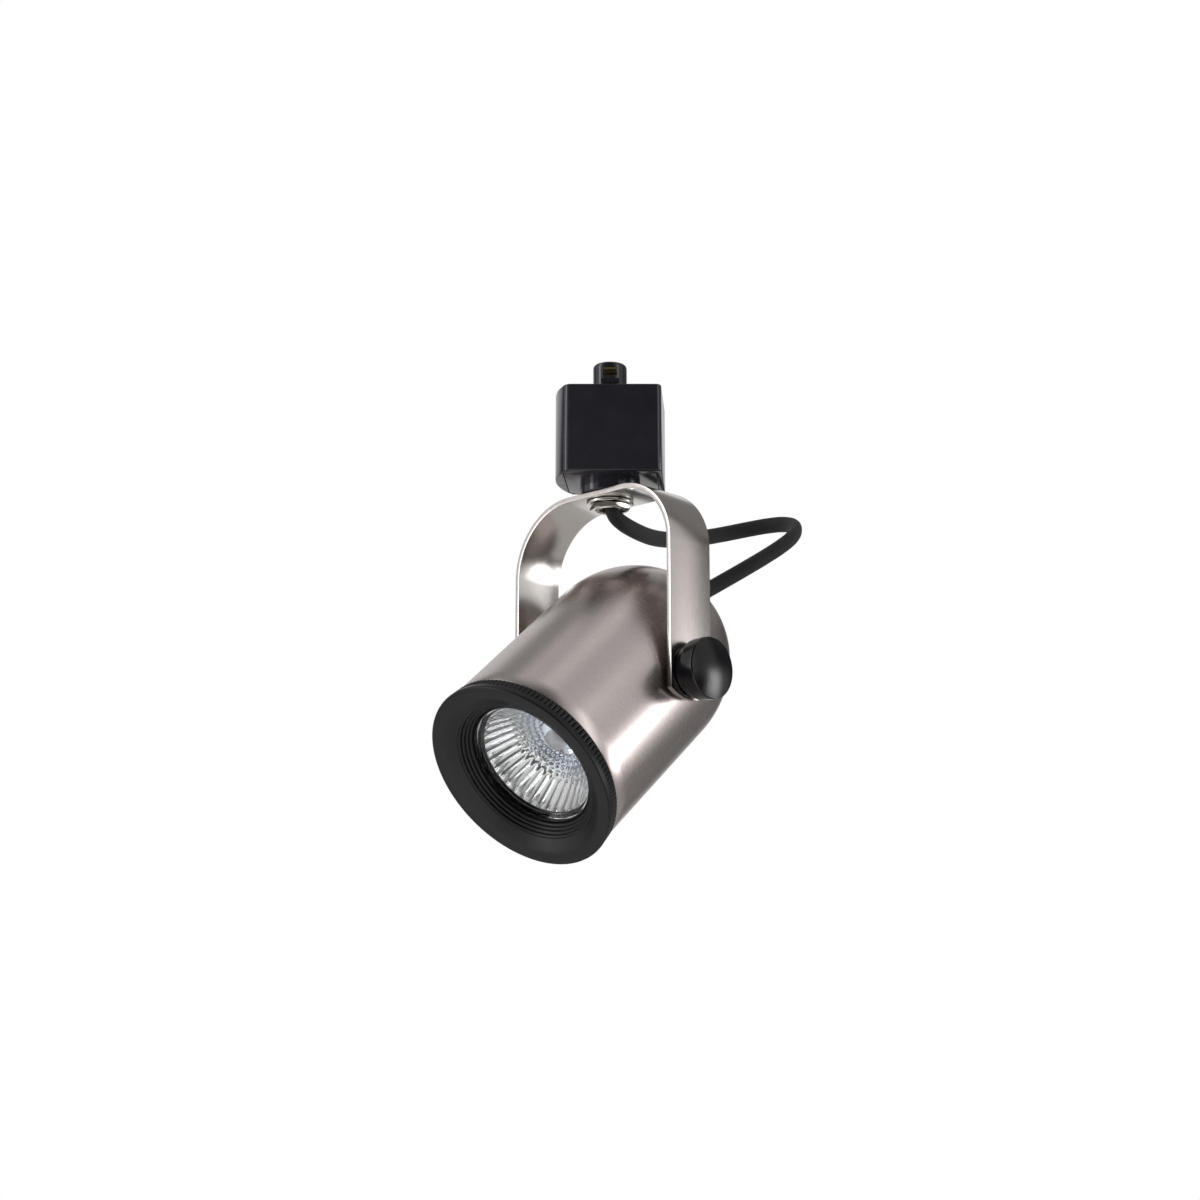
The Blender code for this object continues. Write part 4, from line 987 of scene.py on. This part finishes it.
def ridge_points(front):
    """Rounded ridges with sharp grooves between them, from the cone down to the lip."""
    start = Vector((CONE_R, front + CONE_DEPTH))
    end = Vector((LIP_R + 0.8 * MM, front + LIP_DEPTH - 0.9 * MM))
    along = (end - start) / RIDGES
    out = Vector((-along.y, along.x)).normalized()
    points = []
    for i in range(RIDGES):
        for share in (0.0, 0.07, 0.16, 0.32, 0.5, 0.68, 0.84, 0.93):
            rise = 0.42 * MM * math.sin(math.pi * share) ** 0.55 - 0.22 * MM
            points.append(tuple(start + along * (i + share) + out * rise))
    lip = [tuple(end - out * 0.22 * MM), (LIP_R + 0.15 * MM, end.y - 0.3 * MM), (LIP_R, end.y + 0.1 * MM)]
    return points + lip


def make_baffle():
    """Turned ring: knurled band, rounded rim, smooth cone, ridges and a skirt with bayonet slots."""
    size = Extent("baffle_ring", HEAD)
    front, top, rim = size.lo.z, size.hi.z, size.outer - 0.06 * MM
    can = Extent("head_can", HEAD)
    shoulder = can.lo.z - GAP
    skirt = can.outer - CAN_WALL - GAP
    skirt_inner = skirt - SKIRT_WALL
    back = front + LIP_DEPTH
    smooth = front + PLAIN_RIM
    slope = (rim - REAR_R) / (front + MM - shoulder)
    outside = [(skirt, top), (skirt, shoulder), (REAR_R - 0.8 * MM, shoulder)]
    band = [(REAR_R + slope * (z - shoulder), z)
            for z in (shoulder - 0.15 * MM, shoulder - 0.8 * MM, smooth + 0.7 * MM, smooth + 0.1 * MM)]
    face = [(REAR_R + slope * (smooth - shoulder) - 0.05 * MM, smooth - 0.1 * MM), (rim, front + 1.2 * MM),
            *((rim - within * MM, front + up * MM) for within, up in RIM_ROUND),
            (FACE_R + 0.4 * MM, front + 0.42 * MM), (FACE_R - 0.2 * MM, front + 0.6 * MM)]
    cone = [(FACE_R + (CONE_R - FACE_R) * t, front + 0.5 * MM + (CONE_DEPTH - 0.5 * MM) * t ** 1.08)
            for t in (0.2, 0.4, 0.6, 0.8, 0.97)]
    inside = [(LIP_R, back), (LIP_R + 2.0 * MM, back), (CONE_R + 1.8 * MM, front + 4.9 * MM),
              (skirt_inner, front + 2.8 * MM), (skirt_inner, top)]
    profile = outside + band + face + cone + ridge_points(front) + inside
    first = len(outside)
    last = first + len(band)

    def teeth(i, turn, r, z):
        if first <= i < last:
            r -= TOOTH_DEPTH * (1 - abs(math.sin(turn * TEETH / 2)) ** 0.8)
        return r, z

    ring = lathe("baffle_turned", profile, TEETH * 6, shape=teeth, angle=28)
    cuts = []
    half = math.asin(PIN_HALF / skirt) + 0.005
    pin = Extent("bayonet_pin_1", HEAD)
    z = (pin.lo.z + pin.hi.z) / 2
    for i in range(3):
        base = math.tau / 3 * i
        lock = sector(*SLOT_SPAN, base - half, base + half + RING_TWIST, 10)
        entry = sector(*SLOT_SPAN, base - half + RING_TWIST, base + half + RING_TWIST, 3)
        cuts += [prism("lock", lock, z - PIN_HALF, z + PIN_HALF), prism("entry", entry, z, top + MM)]
    piece(combined(ring, cuts, 28), [MATT_BLACK], "baffle", HEAD, ["baffle_ring"])


def sector(inner, outer, start, end, count):
    a, b = math.degrees(start), math.degrees(end)
    return arc((0, 0), outer, a, b, count) + list(reversed(arc((0, 0), inner, a, b, count)))


# ------ reflector lamp

FLUTES = 36
FLUTED_FROM = 0.66          # share of the way from the neck to the rim
BEADS_FROM = 0.24
BEAD_ROWS = 4
BOWL_POWER = 1.9            # 2 would be a parabola
CAPSULE_TIP = 0.86          # height of the capsule's round end over its radius


def make_reflector():
    """Pressed reflector: flutes near the rim, four rows of beads inside them, a round neck behind."""
    size = Extent("lamp_reflector", HEAD)
    rim_r, rim, back = size.outer, size.lo.z, size.hi.z
    neck_r, bore = 8.8 * MM, 6.4 * MM
    depth = 24.0 * MM
    wall = 1.7 * MM
    rows = 60
    bowl_r = rim_r - 0.8 * MM - neck_r
    inner = []
    for k in range(rows + 1):
        share = 1 - k / rows
        fall = depth * 0.98 * (1 - share ** BOWL_POWER)
        inner.append((max(neck_r + bowl_r * share - wall, bore), rim + fall))
    outer = []
    for k in range(16):
        share = k / 16 + 0.03
        outer.append((neck_r + bowl_r * share, rim + 2 * MM + depth * (1 - share ** BOWL_POWER)))
    profile = inner + [(bore, back), (neck_r + MM, back), (neck_r + MM, outer[0][1] + MM)] + outer
    profile += [(rim_r, rim + 2.2 * MM), (rim_r, rim + 0.3 * MM), (rim_r - 0.3 * MM, rim)]

    def press(i, turn, r, z):
        share = 1 - i / rows
        if i > rows or share < BEADS_FROM:
            return r, z
        if share > FLUTED_FROM:
            ease = min(1.0, (share - FLUTED_FROM) / 0.05, (1.0 - share) / 0.03 + 0.2)
            return r + 0.62 * MM * ease * (abs(math.sin(turn * FLUTES / 2)) - 0.6), z
        place = (share - BEADS_FROM) / (FLUTED_FROM - BEADS_FROM) * BEAD_ROWS
        shift = math.pi / FLUTES * (math.floor(place) % 2)
        bead = max(0.0, abs(math.sin((turn + shift) * FLUTES / 2) * math.sin(math.pi * place)) * 1.6 - 0.6)
        return r - 0.32 * MM * bead, z - 0.24 * MM * bead

    def coated(centre, normal):
        inward = centre.x * normal.x + centre.y * normal.y < 0 and centre.z < rim + depth
        return 0 if inward or normal.z < -0.5 else 1

    bowl = lathe("reflector_bowl", profile, FLUTES * 8, shape=press, angle=24)
    piece(bowl, [MIRROR, GLASS_BACK], "lamp", HEAD, ["lamp_reflector"], coated)


def make_front_glass():
    """Cover glass: a thin disc with a thicker, rounded moulded edge."""
    size = Extent("lamp_front_glass", HEAD)
    r, z0, z1 = size.outer, size.lo.z, size.hi.z
    back, face = z1 - 0.15 * MM, z0 + 0.2 * MM
    profile = [(0, back), (r - 2.2 * MM, back), (r - 1.8 * MM, z1), (r - 0.3 * MM, z1), (r, z1 - 0.3 * MM),
               (r, z0 + 0.4 * MM), (r - 0.4 * MM, z0), (r - 1.6 * MM, z0), (r - 2.0 * MM, face), (0, face)]
    disc = lathe("cover_glass", soften(profile, 0.12 * MM, closed=False, count=2), 128, closed=False)
    piece(disc, [CLEAR], "lamp", HEAD, ["lamp_front_glass"])


def make_burner():
    """Quartz capsule with its pinched tip and the coiled filament on two legs."""
    size = Extent("lamp_capsule", HEAD)
    r, tip, top = size.outer, size.lo.z, size.hi.z
    wall = 0.8 * MM

    def cap(radius, last):
        """Flattened dome from the side to last degrees up, round the same centre."""
        turns = [math.radians(t) for t in range(0, last, 8)]
        return [(radius * math.cos(t), tip + r - radius * math.sin(t) * CAPSULE_TIP) for t in turns]

    outer = cap(r, 80)
    inner = cap(r - wall, 89)
    nub = [(0.9 * MM, tip + 0.5 * MM), (0.7 * MM, tip + 0.1 * MM), (0, tip)]
    profile = [(r, top), (r, tip + r + 2 * MM)] + outer + nub
    profile += [(0, inner[-1][1])] + list(reversed(inner)) + [(r - wall, top)]
    capsule = lathe("capsule_glass", profile, 64)
    piece(capsule, [QUARTZ], "lamp", HEAD, ["lamp_capsule"])
    coil_z = tip + 6.0 * MM
    turns, coil_r, half = 9, 0.75 * MM, 2.2 * MM
    leg = ((1.2 * MM, top - 0.6 * MM), (1.2 * MM, top - 5 * MM), (half, coil_z + 1.6 * MM))
    route = [Vector((-x, 0, z)) for x, z in leg]
    count = turns * 10
    for k in range(count + 1):
        turn = math.tau * k / 10
        x = -half + 2 * half * k / count
        route.append(Vector((x, coil_r * math.sin(turn), coil_z + coil_r * math.cos(turn))))
    route += [Vector((x, 0, z)) for x, z in reversed(leg)]
    wire = tube("filament_coil", route, 0.13 * MM, 8)
    piece(wire, [TUNGSTEN], "lamp", HEAD, ["lamp_filament"])


def make_lamp():
    make_reflector()
    make_front_glass()
    make_burner()


# ------ thumb knobs

KNOB_DOME = 1.6 * MM
COLLAR_R = 9.4 * MM
COLLAR_LENGTH = 3.1 * MM


def make_knob(side):
    """Thumb knob with a flat collar, a slightly tapered grip and a domed face."""
    place = KNOB[side]
    size = Extent("knob_" + side, place)
    wide, low, top = size.outer, size.lo.z, size.hi.z
    collar_end = low + COLLAR_LENGTH
    rim = top - KNOB_DOME
    sphere = (wide ** 2 + KNOB_DOME ** 2) / (2 * KNOB_DOME)
    face = []
    for k in range(18):
        r = (wide - 0.3 * MM) * k / 17
        face.append((r, top - (sphere - math.sqrt(sphere ** 2 - r ** 2))))
    profile = face + soften([face[-1], (wide, rim - 0.35 * MM), (wide - 0.15 * MM, collar_end + 0.9 * MM),
                             (wide - 0.9 * MM, collar_end), (COLLAR_R, collar_end), (COLLAR_R, low),
                             (SCREW_WAY_R, low)], 0.35 * MM, closed=False)[1:]
    profile += [(SCREW_WAY_R, top - 4.9 * MM), (0, top - 4.9 * MM)]
    grip = lathe("knob_grip_" + side, profile, 96, closed=False)
    piece(grip, [SATIN_BLACK], "knob_" + side, place, ["knob_" + side])


# ------ CAD nodes that stay

def dress(node, look, bevel=0.0):
    """A CAD node that keeps its shape gets its finish and softened edges."""
    obj = frame["nodes"][node]
    obj.data.materials.clear()
    obj.data.materials.append(look)
    if bevel:
        weld = obj.modifiers.new("weld", "WELD")
        weld.merge_threshold = 0.00001
        rounding = obj.modifiers.new("soft_edges", "BEVEL")
        rounding.width = bevel
        rounding.segments = 2
        rounding.limit_method = "ANGLE"
        rounding.angle_limit = math.radians(40)


def dress_nodes():
    """Screws, nuts, contacts, pins, socket and leads."""
    zinc = ["pan_stop_washer", "nipple_lock_nut", "bayonet_pin_1", "bayonet_pin_2", "bayonet_pin_3",
            "bushing_nut", "socket_bracket"]
    for side in ("left", "right"):
        zinc += [kind + side for kind in ("adapter_screw_", "socket_screw_", "pivot_nut_", "knob_screw_")]
        dress("lamp_pin_" + side, BRIGHT)
    for node in zinc:
        dress(node, ZINC)
    for use, look in LEADS.items():
        dress(use + "_contact_blade", BRASS, 0.15 * MM)
        dress("adapter_lead_" + use, look)
        dress("head_lead_" + use, look)
    dress("ground_screw", BRASS)
    dress("lamp_socket", CERAMIC)
    dress("lamp_base", CERAMIC)


# ------ assembly

set_camera()
make_cable()
set_world()
set_stage()
make_adapter()
make_yoke()
make_swivel()
make_can()
make_bushing()
make_friction_washers()
make_baffle()
make_lamp()
make_knob("right")
make_knob("left")
dress_nodes()

bpy.context.scene.view_settings.view_transform = "Standard"
